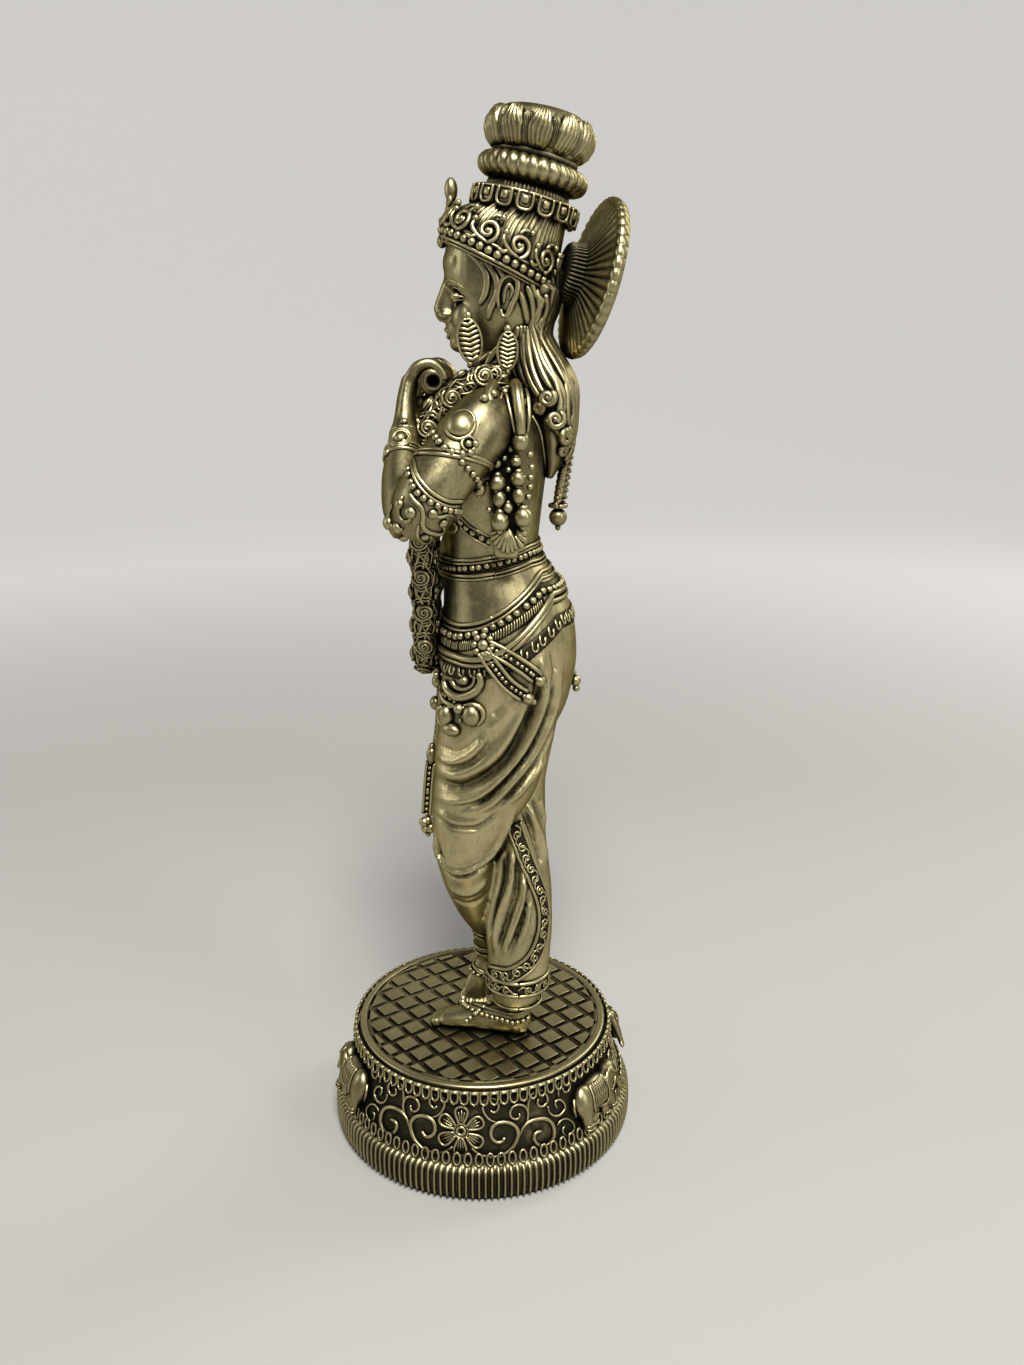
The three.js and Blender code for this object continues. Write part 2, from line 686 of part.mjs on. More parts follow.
function flower(azimuth) {
  const petals = Array.from({ length: PETALS }, (_, i) => {
    const turn = (i / PETALS) * 360;
    const spread = FLOWER_REACH * PETAL.spread;
    const sideways = aroundWall(spread * Math.sin(radians(turn)), FLOWER_HEIGHT);
    const at = onWall(azimuth + sideways, FLOWER_HEIGHT + spread * Math.cos(radians(turn)), 0.2);
    const size = [PETAL.proud, PETAL.width, FLOWER_REACH * PETAL.half];
    const petal = blob([[0, 0, 0], size, [-turn, 0, 0]], 4, 3);
    return petal.rotate([0, 0, azimuth + PLINTH_TURN]).translate(at);
  });
  const centre = Array(3).fill(FLOWER_CENTRE);
  return [...petals, blob([onWall(azimuth, FLOWER_HEIGHT, 0.4), centre, [0, 0, 0]], 6, 3)];
}

// A spiral band lying on the wall
function scroll(azimuth, height, radius, sense) {
  const { steps, turns, shrink, thick } = SCROLL;
  const stations = Array.from({ length: steps + 1 }, (_, i) => {
    const turn = sense * (i / steps) * turns * 2 * Math.PI;
    const r = radius * (1 - shrink * (i / steps));
    const sideways = aroundWall(r * Math.cos(turn), height);
    return [...onWall(azimuth + sideways, height - r * Math.sin(turn), 0.1), thick, thick];
  });
  const out = radians(azimuth + PLINTH_TURN);
  return limb(stations, 3, new THREE.Vector3(Math.cos(out), Math.sin(out), 0));
}

// An elephant in low relief, walking away from the flower; side is 1 or -1
function elephant(flowerAzimuth, side) {
  const middle = flowerAzimuth + side * ELEPHANT_AZIMUTH;
  const onBand = ([along, height, proud]) => {
    const azimuth = middle + aroundWall(side * along, FLOWER_HEIGHT);
    return { azimuth, at: onWall(azimuth, height, proud) };
  };
  const lump = ([place, size], across) => {
    const { azimuth, at } = onBand(place);
    const form = blob([[0, 0, 0], size, [0, 0, 0]], across, 3);
    return form.rotate([0, 0, azimuth + PLINTH_TURN]).translate(at);
  };
  const tube = (path, sides) => limb(
    path.map(([along, height, proud, radius]) => [...onBand([along, height, proud]).at, radius, radius]),
    sides,
  );
  return [
    lump(ELEPHANT.body, 6),
    lump(ELEPHANT.skull, 4),
    ...ELEPHANT.legs.map((leg) => tube(leg, 3)),
    tube(ELEPHANT.trunk, 3),
  ];
}

function plinthSolid() {
  const ribs = skin(RIB_COUNT * 2, RIB_PROFILE.length, (point, level, angle, reach) => {
    const [height, radius, groove] = RIB_PROFILE[level];
    const r = reach * (radius - groove * (0.5 - 0.5 * Math.cos(RIB_COUNT * angle)));
    point.set(r * Math.sin(angle), -r * Math.cos(angle), height);
  });
  const levels = [...WALL_PROFILE, [PLINTH_TOP - TILE_HEIGHT, RIM_RADIUS]];
  const wall = skin(WALL_SIDES, levels.length, (point, level, angle, reach) => {
    const [height, radius] = levels[level];
    point.set(reach * radius * Math.sin(angle), -reach * radius * Math.cos(angle), height);
  });
  const relief = [0, 180].flatMap((azimuth) => [
    ...flower(azimuth),
    ...[-1, 1].flatMap((side) => [
      ...SCROLLS.map(([away, height, radius, sense]) => (
        scroll(azimuth + side * away, height, radius, side * sense))),
      ...elephant(azimuth, side),
    ]),
  ]);
  return wasm.Manifold.union([ribs, wall, ...tiles(), ...relief]).simplify(SLIVER);
}

const brass = (color, roughness) => new THREE.MeshStandardMaterial({ color, roughness, metalness: 1 });

const figure = figureSolid().subtract(fluteSolid(GAP)).subtract(haloSolid(GAP)).simplify(SLIVER);

const statue = new THREE.Group();
statue.add(toMesh('plinth', plinthSolid(), brass(0x9a8f63, 0.45)));
statue.add(toMesh('figure', figure, brass(0xa79c6c, 0.4)));
statue.add(toMesh('halo', haloSolid(), brass(0xa2976a, 0.42)));
statue.add(toMesh('flute', fluteSolid(), brass(0xa2976a, 0.4)));

export default statue;
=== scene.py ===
import math
import random

import bpy
import numpy as np
from mathutils import Matrix, Vector
from mathutils.bvhtree import BVHTree


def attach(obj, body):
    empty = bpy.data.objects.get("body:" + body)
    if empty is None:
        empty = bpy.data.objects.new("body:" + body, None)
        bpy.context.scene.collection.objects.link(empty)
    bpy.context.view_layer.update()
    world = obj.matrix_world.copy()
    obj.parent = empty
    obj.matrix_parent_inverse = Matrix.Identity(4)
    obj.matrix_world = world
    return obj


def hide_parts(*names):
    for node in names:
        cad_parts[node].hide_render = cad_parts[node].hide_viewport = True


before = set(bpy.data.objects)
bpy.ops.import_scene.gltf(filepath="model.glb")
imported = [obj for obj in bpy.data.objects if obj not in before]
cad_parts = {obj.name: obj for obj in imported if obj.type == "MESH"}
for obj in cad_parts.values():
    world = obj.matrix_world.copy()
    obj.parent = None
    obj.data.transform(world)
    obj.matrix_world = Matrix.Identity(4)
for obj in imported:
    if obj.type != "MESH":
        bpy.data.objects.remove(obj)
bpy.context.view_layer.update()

# Camera, floor and light.
# The camera stands to the figure's left, a little above its shoulder, and looks down on
# it as the photograph does. Lengths in this script are millimetres until MM makes metres.
MM = 0.001
PHOTO_WIDTH = 1024
PHOTO_HEIGHT = 1365
PHOTO_FOCUS = 1100  # pixels
CAMERA_PLACE = Vector((342.6, 10.5, 262.1))
CAMERA_PITCH = math.radians(16.68)
SENSOR = 36
LOOK = Vector((-math.cos(CAMERA_PITCH), 0, -math.sin(CAMERA_PITCH)))
LOOK_UP = Vector((-math.sin(CAMERA_PITCH), 0, math.cos(CAMERA_PITCH)))
LOOK_RIGHT = Vector((0, 1, 0))

lens = bpy.data.cameras.new("camera")
lens.sensor_width = SENSOR
lens.lens = PHOTO_FOCUS * SENSOR / PHOTO_HEIGHT
lens.clip_start = 10 * MM
camera = bpy.data.objects.new("camera", lens)
bpy.context.scene.collection.objects.link(camera)
camera.location = CAMERA_PLACE * MM
camera.rotation_euler = LOOK.to_track_quat("-Z", "Y").to_euler()
bpy.context.scene.camera = camera
bpy.context.scene.view_settings.view_transform = "Standard"

world = bpy.data.worlds.new("studio")
world.use_nodes = True
sky = world.node_tree.nodes["Background"].inputs
sky["Color"].default_value = (0.62, 0.6, 0.57, 1)
sky["Strength"].default_value = 0.07
bpy.context.scene.world = world


def softbox(name, place, aim, size, power, tint=(1, 1, 1)):
    light = bpy.data.lights.new(name, "AREA")
    light.shape = "RECTANGLE"
    light.size, light.size_y = size
    light.energy = power
    light.color = tint
    box = bpy.data.objects.new(name, light)
    bpy.context.scene.collection.objects.link(box)
    box.location = Vector(place)
    box.rotation_euler = (Vector(aim) - Vector(place)).to_track_quat("-Z", "Y").to_euler()


MIDDLE = (0, 0, 0.17)
softbox("key", (0.75, 0.1, 1.3), MIDDLE, (0.36, 0.56), 36, (1, 0.98, 0.95))
softbox("fill", (0.8, 1.0, 0.7), MIDDLE, (0.3, 0.9), 5, (1, 0.99, 0.97))
softbox("rim", (-0.6, 0.9, 0.9), MIDDLE, (0.4, 0.9), 7)
softbox("front", (0.1, -1.3, 0.6), MIDDLE, (0.25, 0.8), 2.5)


class Shade:
    """A socket of a material's nodes, or a number, that Python's operators work on."""

    def __init__(self, material, socket):
        self.material = material
        self.socket = socket

    def node(self, kind, settings=None, **sockets):
        tree = self.material.node_tree
        made = tree.nodes.new("ShaderNode" + kind)
        for key, value in (settings or {}).items():
            setattr(made, key, value)
        for key, value in sockets.items():
            index = int(key[1:]) if key[0] == "i" and key[1:].isdigit() else key.replace("_", " ")
            target = made.inputs[index]
            if isinstance(value, Shade):
                tree.links.new(value.socket, target)
            elif value is not None:
                target.default_value = value
        return made

    def of(self, made, output=0):
        return Shade(self.material, made.outputs[output])

    def math(self, operation, a, b):
        return self.of(self.node("Math", {"operation": operation}, i0=a, i1=b))

    def __add__(self, other):
        return self.math("ADD", self, other)

    def __radd__(self, other):
        return self.math("ADD", other, self)

    def __sub__(self, other):
        return self.math("SUBTRACT", self, other)

    def __rsub__(self, other):
        return self.math("SUBTRACT", other, self)

    def __mul__(self, other):
        return self.math("MULTIPLY", self, other)

    def __rmul__(self, other):
        return self.math("MULTIPLY", other, self)

    def __pow__(self, other):
        return self.math("POWER", self, other)

    def clamp(self):
        return self.of(self.node("Clamp", i0=self))

    def between(self, low, high):
        settings = {"interpolation_type": "SMOOTHSTEP"}
        return self.of(self.node("MapRange", settings, i0=self, i1=low, i2=high, i3=0.0, i4=1.0))


def new_material(name):
    """A material with an empty tree but for its shader, and the Shade that its nodes start from."""
    material = bpy.data.materials.new(name)
    material.use_nodes = True
    shader = material.node_tree.nodes["Principled BSDF"]
    return material, shader, Shade(material, None)


def blend_colours(start, share, first, second):
    """Two colours or colour sockets, mixed by a share from 0 to 1."""
    mix = start.node("Mix", {"data_type": "RGBA"}, i0=share)
    for index, value in ((6, first), (7, second)):
        if isinstance(value, Shade):
            start.material.node_tree.links.new(value.socket, mix.inputs[index])
        else:
            mix.inputs[index].default_value = (*value, 1)
    return start.of(mix, 2)


def feed(shader, **sockets):
    for key, value in sockets.items():
        target = shader.inputs[key.replace("_", " ")]
        if isinstance(value, Shade):
            value.material.node_tree.links.new(value.socket, target)
        else:
            target.default_value = value


FLOOR_RADIUS = 1.5  # metres, where the floor starts to rise all round
WALL_BEND = 0.8
WALL_TOP = 2.3
FLAT_SHARE = 0.19  # of the sheet's rows, which lie flat
BEND_SHARES = (0.1875, 0.8125)  # the rows between which it bends up


def added(primitive, **settings):
    """A new primitive, with nothing else selected."""
    bpy.ops.object.select_all(action="DESELECT")
    primitive(**settings)
    return bpy.context.active_object


floor = added(bpy.ops.mesh.primitive_grid_add, x_subdivisions=96, y_subdivisions=24, size=1)
floor.name = "floor"
for corner in floor.data.vertices:
    turn = (corner.co.x + 0.5) * 2 * math.pi
    share = corner.co.y + 0.5
    arc = float(np.interp(share, BEND_SHARES, (0, math.pi / 2)))
    radius = min(share / FLAT_SHARE, 1) * FLOOR_RADIUS + WALL_BEND * math.sin(arc)
    height = WALL_BEND * (1 - math.cos(arc)) + np.interp(
        share, (BEND_SHARES[1], 1), (0, WALL_TOP - WALL_BEND),
    )
    corner.co = (radius * math.cos(turn), radius * math.sin(turn), height)
bpy.ops.object.mode_set(mode="EDIT")
bpy.ops.mesh.select_all(action="SELECT")
bpy.ops.mesh.remove_doubles(threshold=0.0001)
bpy.ops.mesh.normals_make_consistent(inside=True)
bpy.ops.object.mode_set(mode="OBJECT")
bpy.ops.object.shade_smooth()
# the paper is a little paler in front and darker towards the back, a painted shade, and glows faintly towards
# the walls, most on the far side, with painted light that no lamp gives
PAPER_AND_PAINTED_SHADE = ((0.3, 0.291, 0.277), (0.325, 0.317, 0.304))
PAINTED_GLOW = (0.83, 0.818, 0.797)
floor_paper_painted_light, floor_shader, start = new_material("floor_paper_painted_light")
place = start.of(start.node("TexCoord"), "Object")
across = start.of(start.node("SeparateXYZ", Vector=place), 0)
far = start.of(start.node("VectorMath", {"operation": "LENGTH"}, i0=place), "Value")
# painted shade: the paper darkens towards the back
tone = blend_colours(start, across.between(-0.34, -0.16), *PAPER_AND_PAINTED_SHADE)
# painted light: the paper glows towards the walls, most on the far side
painted_glow = blend_colours(start, far.between(0.1, 1.35) * (1.08 - across.between(-0.9, 0.9)), (0, 0, 0), PAINTED_GLOW)
feed(floor_shader, Base_Color=tone, Roughness=0.95, Emission_Color=painted_glow, Emission_Strength=0.5)
floor.data.materials.append(floor_paper_painted_light)

# Antique brass.
# The whole statue is one cast brass, darkened all over and then rubbed back, so that it
# is near black in the recesses, olive gold on the forms and bright on the edges.
# Wide hollows, where shade falls, also get a painted shade over the brass.
RUBBED = (0.5, 0.44, 0.236)
OLIVE = (0.15, 0.131, 0.07)
BROWN = (0.09, 0.074, 0.04)
GRAZING = (0.24, 0.22, 0.16, 1)  # how a worn cast skin dulls where it is seen aslant
PATINA = (0.012, 0.0105, 0.007)
# the colour of the painted shade in wide hollows
PAINTED_SHADE = (0.035, 0.029, 0.017)
PAINTED_SHADE_REACH = 7  # millimetres within which a larger hollow is darkened with painted shade
GRAIN = 0.25
BUMP_HEIGHT = 0.12


def antique_brass(name, reach, dark, blotch=0.35, pits=0.0, ground=None, shade=0.85, rub=0.0):
    """Brass whose patina lies within reach millimetres of a recess.

    dark moves the patina's edge outwards, blotch makes the skin cloudier, rub brightens it,
    shade sets how strong the painted shade in wide hollows is, and ground says where patina, and on the belly
    a painted shadow, is laid all over.
    """
    material, shader, start = new_material(name)
    place = start.of(start.node("TexCoord"), "Object")

    def noise(scale, detail, rough=0.55, lift=0.0, where=place):
        made = start.node(
            "TexNoise", {}, Vector=where, Scale=scale, Detail=detail, Roughness=rough, Distortion=lift,
        )
        return start.of(made, 0)

    shelter = start.node("AmbientOcclusion", {"samples": 10}, Distance=reach * MM)
    open_sky = start.of(shelter, "AO")
    hollow = start.of(start.node("AmbientOcclusion", {"samples": 6}, Distance=PAINTED_SHADE_REACH * MM), "AO")
    # painted shade: the deeper a wide hollow, the darker it is painted
    painted_shade_share = (1 - hollow).between(0.25, 0.75) * shade
    speck = noise(900, 5, 0.65)
    cloud = noise(70, 4, 0.6, 0.6)
    ragged = open_sky + (speck - 0.5) * 0.24 + (cloud - 0.5) * 0.16
    recess = 1 - ragged.between(0.28 + dark * 0.4, 0.6 + dark * 0.42)
    point = start.of(start.node("NewGeometry"), "Pointiness")
    worn = point.between(0.505, 0.56)
    tone = (cloud * blotch + ((1 - blotch) * 0.55 + rub) + (speck - 0.5) * 0.25).clamp()
    skin_colour = blend_colours(start, tone.between(0.3, 0.8), OLIVE, RUBBED)
    warm = noise(34, 3, 0.5).between(0.5, 0.7) * 0.5
    skin_colour = blend_colours(start, warm, skin_colour, BROWN)
    # the painted shade of wide hollows
    skin_colour = blend_colours(start, painted_shade_share, skin_colour, PAINTED_SHADE)
    skin_colour = blend_colours(start, worn * 0.6, skin_colour, RUBBED)
    if ground:  # the patina that is left all over a ground, and the painted shadow on the belly beside the garland, but for a few rubbed places
        rubbed = noise(130, 3, 0.6).between(0.54, 0.74) * 0.35
        recess = 1 - (1 - recess) * (1 - ground(start, place) * (0.93 - rubbed))
    colour = blend_colours(start, recess, skin_colour, PATINA)
    roughness = 0.23 + speck * 0.16 + cloud * 0.1 + recess * 0.25
    metallic = 1 - recess * 0.15
    height = (speck - 0.5) * GRAIN
    if pits:
        dots = noise(520, 2, 0.5).between(0.72, 0.8)
        drawn = start.of(
            start.node("Mapping", {}, Vector=place, Scale=(1, 0.7, 0.06), Rotation=(0.5, 0.3, 0))
        )
        scratches = noise(1900, 2, 0.6, 0.0, drawn).between(0.56, 0.72)
        dents = noise(150, 3, 0.5).between(0.6, 0.8)
        height = height - dots * (pits * 1.6) - dents * pits - scratches * (pits * 0.7)
        colour = blend_colours(start, dots * 0.6 + scratches * 0.22, colour, PATINA)
    bump = start.node("Bump", {}, Height=height, Strength=0.35, Distance=BUMP_HEIGHT * MM)
    feed(shader, Base_Color=colour, Roughness=roughness, Metallic=metallic)
    feed(shader, Normal=start.of(bump, 0), Specular_Tint=GRAZING)
    return material


def alone(piece):
    if bpy.context.object and bpy.context.object.mode != "OBJECT":
        bpy.ops.object.mode_set(mode="OBJECT")
    bpy.ops.object.select_all(action="DESELECT")
    piece.select_set(True)
    bpy.context.view_layer.objects.active = piece


def corners(piece):
    """A piece's corners in millimetres."""
    flat = np.empty(len(piece.data.vertices) * 3)
    piece.data.vertices.foreach_get("co", flat)
    return flat.reshape(-1, 3) / MM


def move_corners(piece, points):
    piece.data.vertices.foreach_set("co", (np.asarray(points) * MM).ravel())
    piece.data.update()


def tidy(piece, threshold=0.002):
    """Merges corners that meet and turns all faces outwards."""
    alone(piece)
    bpy.ops.object.mode_set(mode="EDIT")
    bpy.ops.mesh.select_all(action="SELECT")
    bpy.ops.mesh.remove_doubles(threshold=threshold * MM)
    bpy.ops.mesh.normals_make_consistent(inside=False)
    bpy.ops.object.mode_set(mode="OBJECT")


def mirror(piece, middle=0.0, threshold=0.002):
    """Turns a piece into its like on the other side of an X."""
    points = corners(piece)
    points[:, 0] = 2 * middle - points[:, 0]
    move_corners(piece, points)
    tidy(piece, threshold)


def skin(name, rings):
    """A skin over a stack of rings (levels by sides by 3), each end drawn to its ring's middle."""
    rings = np.asarray(rings, float)
    sides = rings.shape[1]
    ends = [np.repeat(rings[i].mean(0)[None], sides, 0)[None] for i in (0, -1)]
    stack = np.concatenate([ends[0], rings, ends[1]])
    sizes = {"x_subdivisions": sides, "y_subdivisions": len(stack) - 1}
    piece = added(bpy.ops.mesh.primitive_grid_add, size=1 / MM, **sizes)
    piece.name = name
    flat = corners(piece) * MM * MM
    wide, tall = (len(np.unique(np.round(flat[:, i], 5))) - 1 for i in (0, 1))
    column = np.rint((flat[:, 0] + 0.5) * wide).astype(int) % sides
    row = np.rint((flat[:, 1] + 0.5) * tall).astype(int)
    move_corners(piece, stack[row, column])
    tidy(piece)
    bpy.ops.object.shade_smooth()
    return piece


def join(name, pieces):
    alone(pieces[0])
    for piece in pieces:
        piece.select_set(True)
    bpy.ops.object.join()
    joined = bpy.context.active_object
    joined.name = name
    return joined


def dress(piece, material, node=None):
    """Gives a finished piece its brass and its body, and hides the part that it stands for."""
    piece.data.materials.clear()
    piece.data.materials.append(material)
    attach(piece, "root")
    if node:
        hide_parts(node)
    return piece


# Relief.
# Beads, cords, scrolls and buds are modelled in the wax and cast with the piece they lie
# on, so each one here is laid on that piece's skin and sunk a little into it.


def stand(point, normal, scale=1.0, up=(0, 0, 1)):
    """The place of a pattern whose Z points along normal and whose Y leans towards up."""
    normal = Vector(normal).normalized()
    side = Vector(up).cross(normal)
    if side.length < 0.05:
        side = Vector((0, 1, 0)).cross(normal)
    side.normalize()
    turn = Matrix((side, normal.cross(side), normal)).transposed().to_4x4()
    sizes = scale if isinstance(scale, tuple) else (scale, scale, scale)
    return Matrix.Translation(Vector(point) * MM) @ turn @ Matrix.Diagonal(
        (*[size * MM for size in sizes], 1)
    )


def own_copy(piece):
    copy = piece.copy()
    copy.data = piece.data.copy()
    bpy.context.scene.collection.objects.link(copy)
    return copy


def copies(name, pattern, places):
    """Copies of a pattern, each with its own mesh, joined into one piece."""
    made = []
    for place in places:
        copy = own_copy(pattern)
        copy.data.transform(place)
        made.append(copy)
    bpy.data.objects.remove(pattern)
    return join(name, made)


def beads(name, rows, detail=2, flat=1.0, highest=math.inf):
    """Beads on (point, outward direction, radius) rows, flattened and no higher than highest."""
    bead = added(bpy.ops.mesh.primitive_ico_sphere_add, subdivisions=detail, radius=1)
    bpy.ops.object.shade_smooth()
    return copies(name, bead, [stand(p, n, (r, r, min(r * flat, highest))) for p, n, r in rows])


def strands(name, lines, resolution=2):
    """Round cast cords. Each line is its points and its radius, or a radius for each point."""
    curve = bpy.data.curves.new(name, "CURVE")
    curve.dimensions = "3D"
    curve.bevel_depth = MM
    curve.bevel_resolution = resolution
    curve.use_fill_caps = True
    for points, radius in lines:
        points = np.asarray([tuple(p) for p in points], float)
        spline = curve.splines.new("POLY")
        spline.points.add(len(points) - 1)
        spline.points.foreach_set("co", np.hstack([points * MM, np.ones((len(points), 1))]).ravel())
        radii = np.broadcast_to(np.asarray(radius, float), (len(points),))
        spline.points.foreach_set("radius", np.ascontiguousarray(radii))
    piece = bpy.data.objects.new(name, curve)
    bpy.context.scene.collection.objects.link(piece)
    alone(piece)
    bpy.ops.object.convert(target="MESH")
    piece = bpy.context.active_object
    tidy(piece, 0.004)
    bpy.ops.object.shade_smooth()
    return piece


def tapered(count, radius, first=0.3, last=0.3, share=0.2):
    """Radii along a cord that thins out towards its two ends."""
    t = np.linspace(0, 1, count)
    rise = np.clip(t / share, 0, 1) ** 0.6 * (1 - first) + first
    fall = np.clip((1 - t) / share, 0, 1) ** 0.6 * (1 - last) + last
    return radius * np.minimum(rise, fall)


def distances(points):
    """How far along a path each of its points is."""
    return np.concatenate([[0], np.cumsum(np.linalg.norm(np.diff(points, axis=0), axis=1))])


def smooth_path(points, step=1.0):
    """An even, rounded path through given points."""
    rows = np.asarray([tuple(p) for p in points], float)
    padded = np.vstack([2 * rows[0] - rows[1], rows, 2 * rows[-1] - rows[-2]])
    made = []
    for i in range(len(rows) - 1):
        a, b, c, d = padded[i:i + 4]
        for t in np.linspace(0, 1, 12, endpoint=False):
            bow = (2 * a - 5 * b + 4 * c - d) * t ** 2 + (3 * b - a - 3 * c + d) * t ** 3
            made.append(0.5 * (2 * b + (c - a) * t + bow))
    made = np.array([*made, rows[-1]])
    along = distances(made)
    wanted = np.linspace(0, along[-1], max(2, round(along[-1] / step)) + 1)
    return np.stack([np.interp(wanted, along, made[:, i]) for i in range(made.shape[1])], 1)


def tree_of(*pieces):
    """A tree of one or more pieces' faces, in millimetres, to lay things on."""
    points = []
    triangles = []
    for piece in pieces:
        piece.data.calc_loop_triangles()
        start = len(points)
        points += [v.co / MM for v in piece.data.vertices]
        triangles += [tuple(start + i for i in t.vertices) for t in piece.data.loop_triangles]
    return BVHTree.FromPolygons(points, triangles)


PIXELS_PER_MM = 3.2  # at the statue's axis
OUTLINE_X = 10  # where the statue's outline lies, as the camera sees it
LINE_GAP = 5  # a longer jump ends a traced line


def photo_ray(u, v):
    """Direction from the camera through a pixel of the photograph."""
    side = (u - PHOTO_WIDTH / 2) / PHOTO_FOCUS
    rise = (PHOTO_HEIGHT / 2 - v) / PHOTO_FOCUS
    return (LOOK + LOOK_RIGHT * side + LOOK_UP * rise).normalized()


def at_x(pixels, x):
    """Points on the upright plane at X under pixels of the photograph."""
    rays = [photo_ray(u, v) for u, v in pixels]
    return [CAMERA_PLACE + ray * ((CAMERA_PLACE.x - x) / -ray.x) for ray in rays]


def laid(tree, pixels, lift=0.0):
    """Places (a point and its outward direction) on a surface under pixels of the photograph."""
    found = []
    for u, v in pixels:
        point, normal, _, _ = tree.ray_cast(CAMERA_PLACE, photo_ray(u, v))
        if point is None:  # just outside the outline: the nearest place on it
            point, normal, _, _ = tree.find_nearest(at_x([(u, v)], OUTLINE_X)[0])
        found.append((point + normal * lift, normal))
    return found


def settled(tree, points, lift=0.0):
    """Points drawn onto the nearest place of a surface, with its outward directions."""
    found = []
    for point in points:
        place, normal, _, _ = tree.find_nearest(Vector(point))
        found.append((place + normal * lift, normal))
    return found


def runs(places, gap):
    """Places along a line, split where a gap parts them."""
    made = [[]]
    for place in places:
        if made[-1] and (place[0] - made[-1][-1][0]).length > gap:
            made.append([])
        made[-1].append(place)
    return made


def traced(tree, pixels, lift=0.0, step=0.8):
    """A smooth line on a surface under a line of pixels, as far as it runs unbroken."""
    path = smooth_path(pixels, step * PIXELS_PER_MM)
    found = [tree.ray_cast(CAMERA_PLACE, photo_ray(u, v))[:2] for u, v in path]
    longest = max(runs([place for place in found if place[0] is not None], LINE_GAP), key=len)
    if len(longest) < 4:
        longest = laid(tree, pixels)
    return [(p + n * lift, n) for p, n in longest]


def strap_lines_of(places, blur=0):
    """A strap's middle line, its outward directions and its sideways ones."""
    points, normals = (np.array([tuple(place[i]) for place in places]) for i in (0, 1))
    for _ in range(blur):
        normals[1:-1] = (normals[:-2] + 2 * normals[1:-1] + normals[2:]) / 4
    side = np.cross(normals, np.gradient(points, axis=0))
    return points, normals, side / np.linalg.norm(side, axis=1)[:, None]


def ribbon(name, places, reach, lift=0.25, across=6):
    """A thin strap laid along places, reach millimetres to each side of them."""
    points, normals, side = strap_lines_of(places, 4)
    shares = np.linspace(-1, 1, across)
    top = [points + side * reach * s + normals * lift for s in shares]
    under = [points + side * reach * s - normals * 0.8 for s in shares[::-1]]
    return skin(name, np.stack(top + under, 1))


def strap_edges(places, reach):
    """The two edge lines of such a strap."""
    points, _, side = strap_lines_of(places)
    return [points + side * reach * s for s in (-1, 1)]


def only_points(places):
    return [p for p, _ in places]


def over(points):
    """The same points on the statue's other side."""
    return [(-p[0], p[1], p[2]) for p in points]


def both_sides(tree, places, lift):
    """A line of places, and its like on the statue's other side."""
    return places, settled(tree, over(only_points(places)), lift)


def spaced(places, step):
    """Places at even steps along a line of places."""
    along = distances([tuple(p) for p, _ in places])
    wanted = np.linspace(0, along[-1], max(1, round(along[-1] / step)) + 1)
    nearest = np.abs(along[None] - wanted[:, None]).argmin(1)
    return [places[i] for i in nearest]


def side_and_rise(normal, up=(0, 0, 1)):
    """The directions to the side and up along a surface."""
    side = Vector(up).cross(normal).normalized()
    return side, normal.cross(side)


def oval_on(centre, side, rise, wide, tall, count):
    """A closed oval of points in a plane."""
    turns = np.linspace(0, 2 * math.pi, count)
    return [centre + side * (wide * math.cos(a)) + rise * (tall * math.sin(a)) for a in turns]


def curl(place, radius, turns=1.4, start=0.0, sense=1, hollow=0.18, count=26):
    """A spiral from its rim to its middle, in the plane of a place."""
    point, normal = Vector(place[0]), Vector(place[1]).normalized()
    side, rise = side_and_rise(normal)
    t = np.linspace(0, 1, count)
    reach = radius * (1 - t * (1 - hollow))
    angle = math.radians(start) + sense * t * turns * 2 * math.pi
    return [
        point + side * float(r * math.cos(a)) + rise * float(r * math.sin(a)) for r, a in zip(reach, angle)
    ]


def dense(rows, step=1.6, blur=3):
    """The rows of a table at even steps along its path, with the corners between them rounded."""
    rows = np.asarray(rows, float)
    along = distances(rows[:, :3])
    wanted = np.linspace(0, along[-1], max(2, math.ceil(along[-1] / step)) + 1)
    table = np.stack([np.interp(wanted, along, rows[:, i]) for i in range(rows.shape[1])], 1)
    for _ in range(blur):
        table[1:-1] = (table[:-2] + 2 * table[1:-1] + table[2:]) / 4
    return table


def ring_stack(rows, sides, front=(0, -1, 0), power=2.0):
    """Ovals square to a path, with a half size across and one front to back."""
    centres = rows[:, :3]
    along = np.gradient(centres, axis=0)
    along /= np.linalg.norm(along, axis=1)[:, None]
    ahead = np.array(front, float) - along * (along @ np.array(front, float))[:, None]
    ahead /= np.linalg.norm(ahead, axis=1)[:, None]
    side = np.cross(along, ahead)
    angle = np.linspace(0, 2 * np.pi, sides, endpoint=False)
    cos, sin = (np.sign(f) * np.abs(f) ** (2 / power) for f in (np.cos(angle), np.sin(angle)))
    return (centres[:, None] + side[:, None] * (rows[:, 3, None] * sin)[..., None]
            + ahead[:, None] * (rows[:, 4, None] * cos)[..., None])


def tube(name, rows, sides=24, front=(0, -1, 0), step=1.6, blur=3, power=2.0):
    return skin(name, ring_stack(dense(rows, step, blur), sides, front, power))


def ball(name, centre, sizes, turn=(0, 0, 0), across=24, down=14):
    piece = added(bpy.ops.mesh.primitive_uv_sphere_add, segments=across, ring_count=down, radius=1)
    piece.name = name
    turning = Matrix.Rotation(math.radians(turn[2]), 4, "Z") @ Matrix.Rotation(math.radians(turn[0]), 4, "X")
    place = Matrix.Translation(Vector(centre) * MM)
    piece.data.transform(place @ turning @ Matrix.Diagonal((*[s * MM for s in sizes], 1)))
    bpy.ops.object.shade_smooth()
    return piece


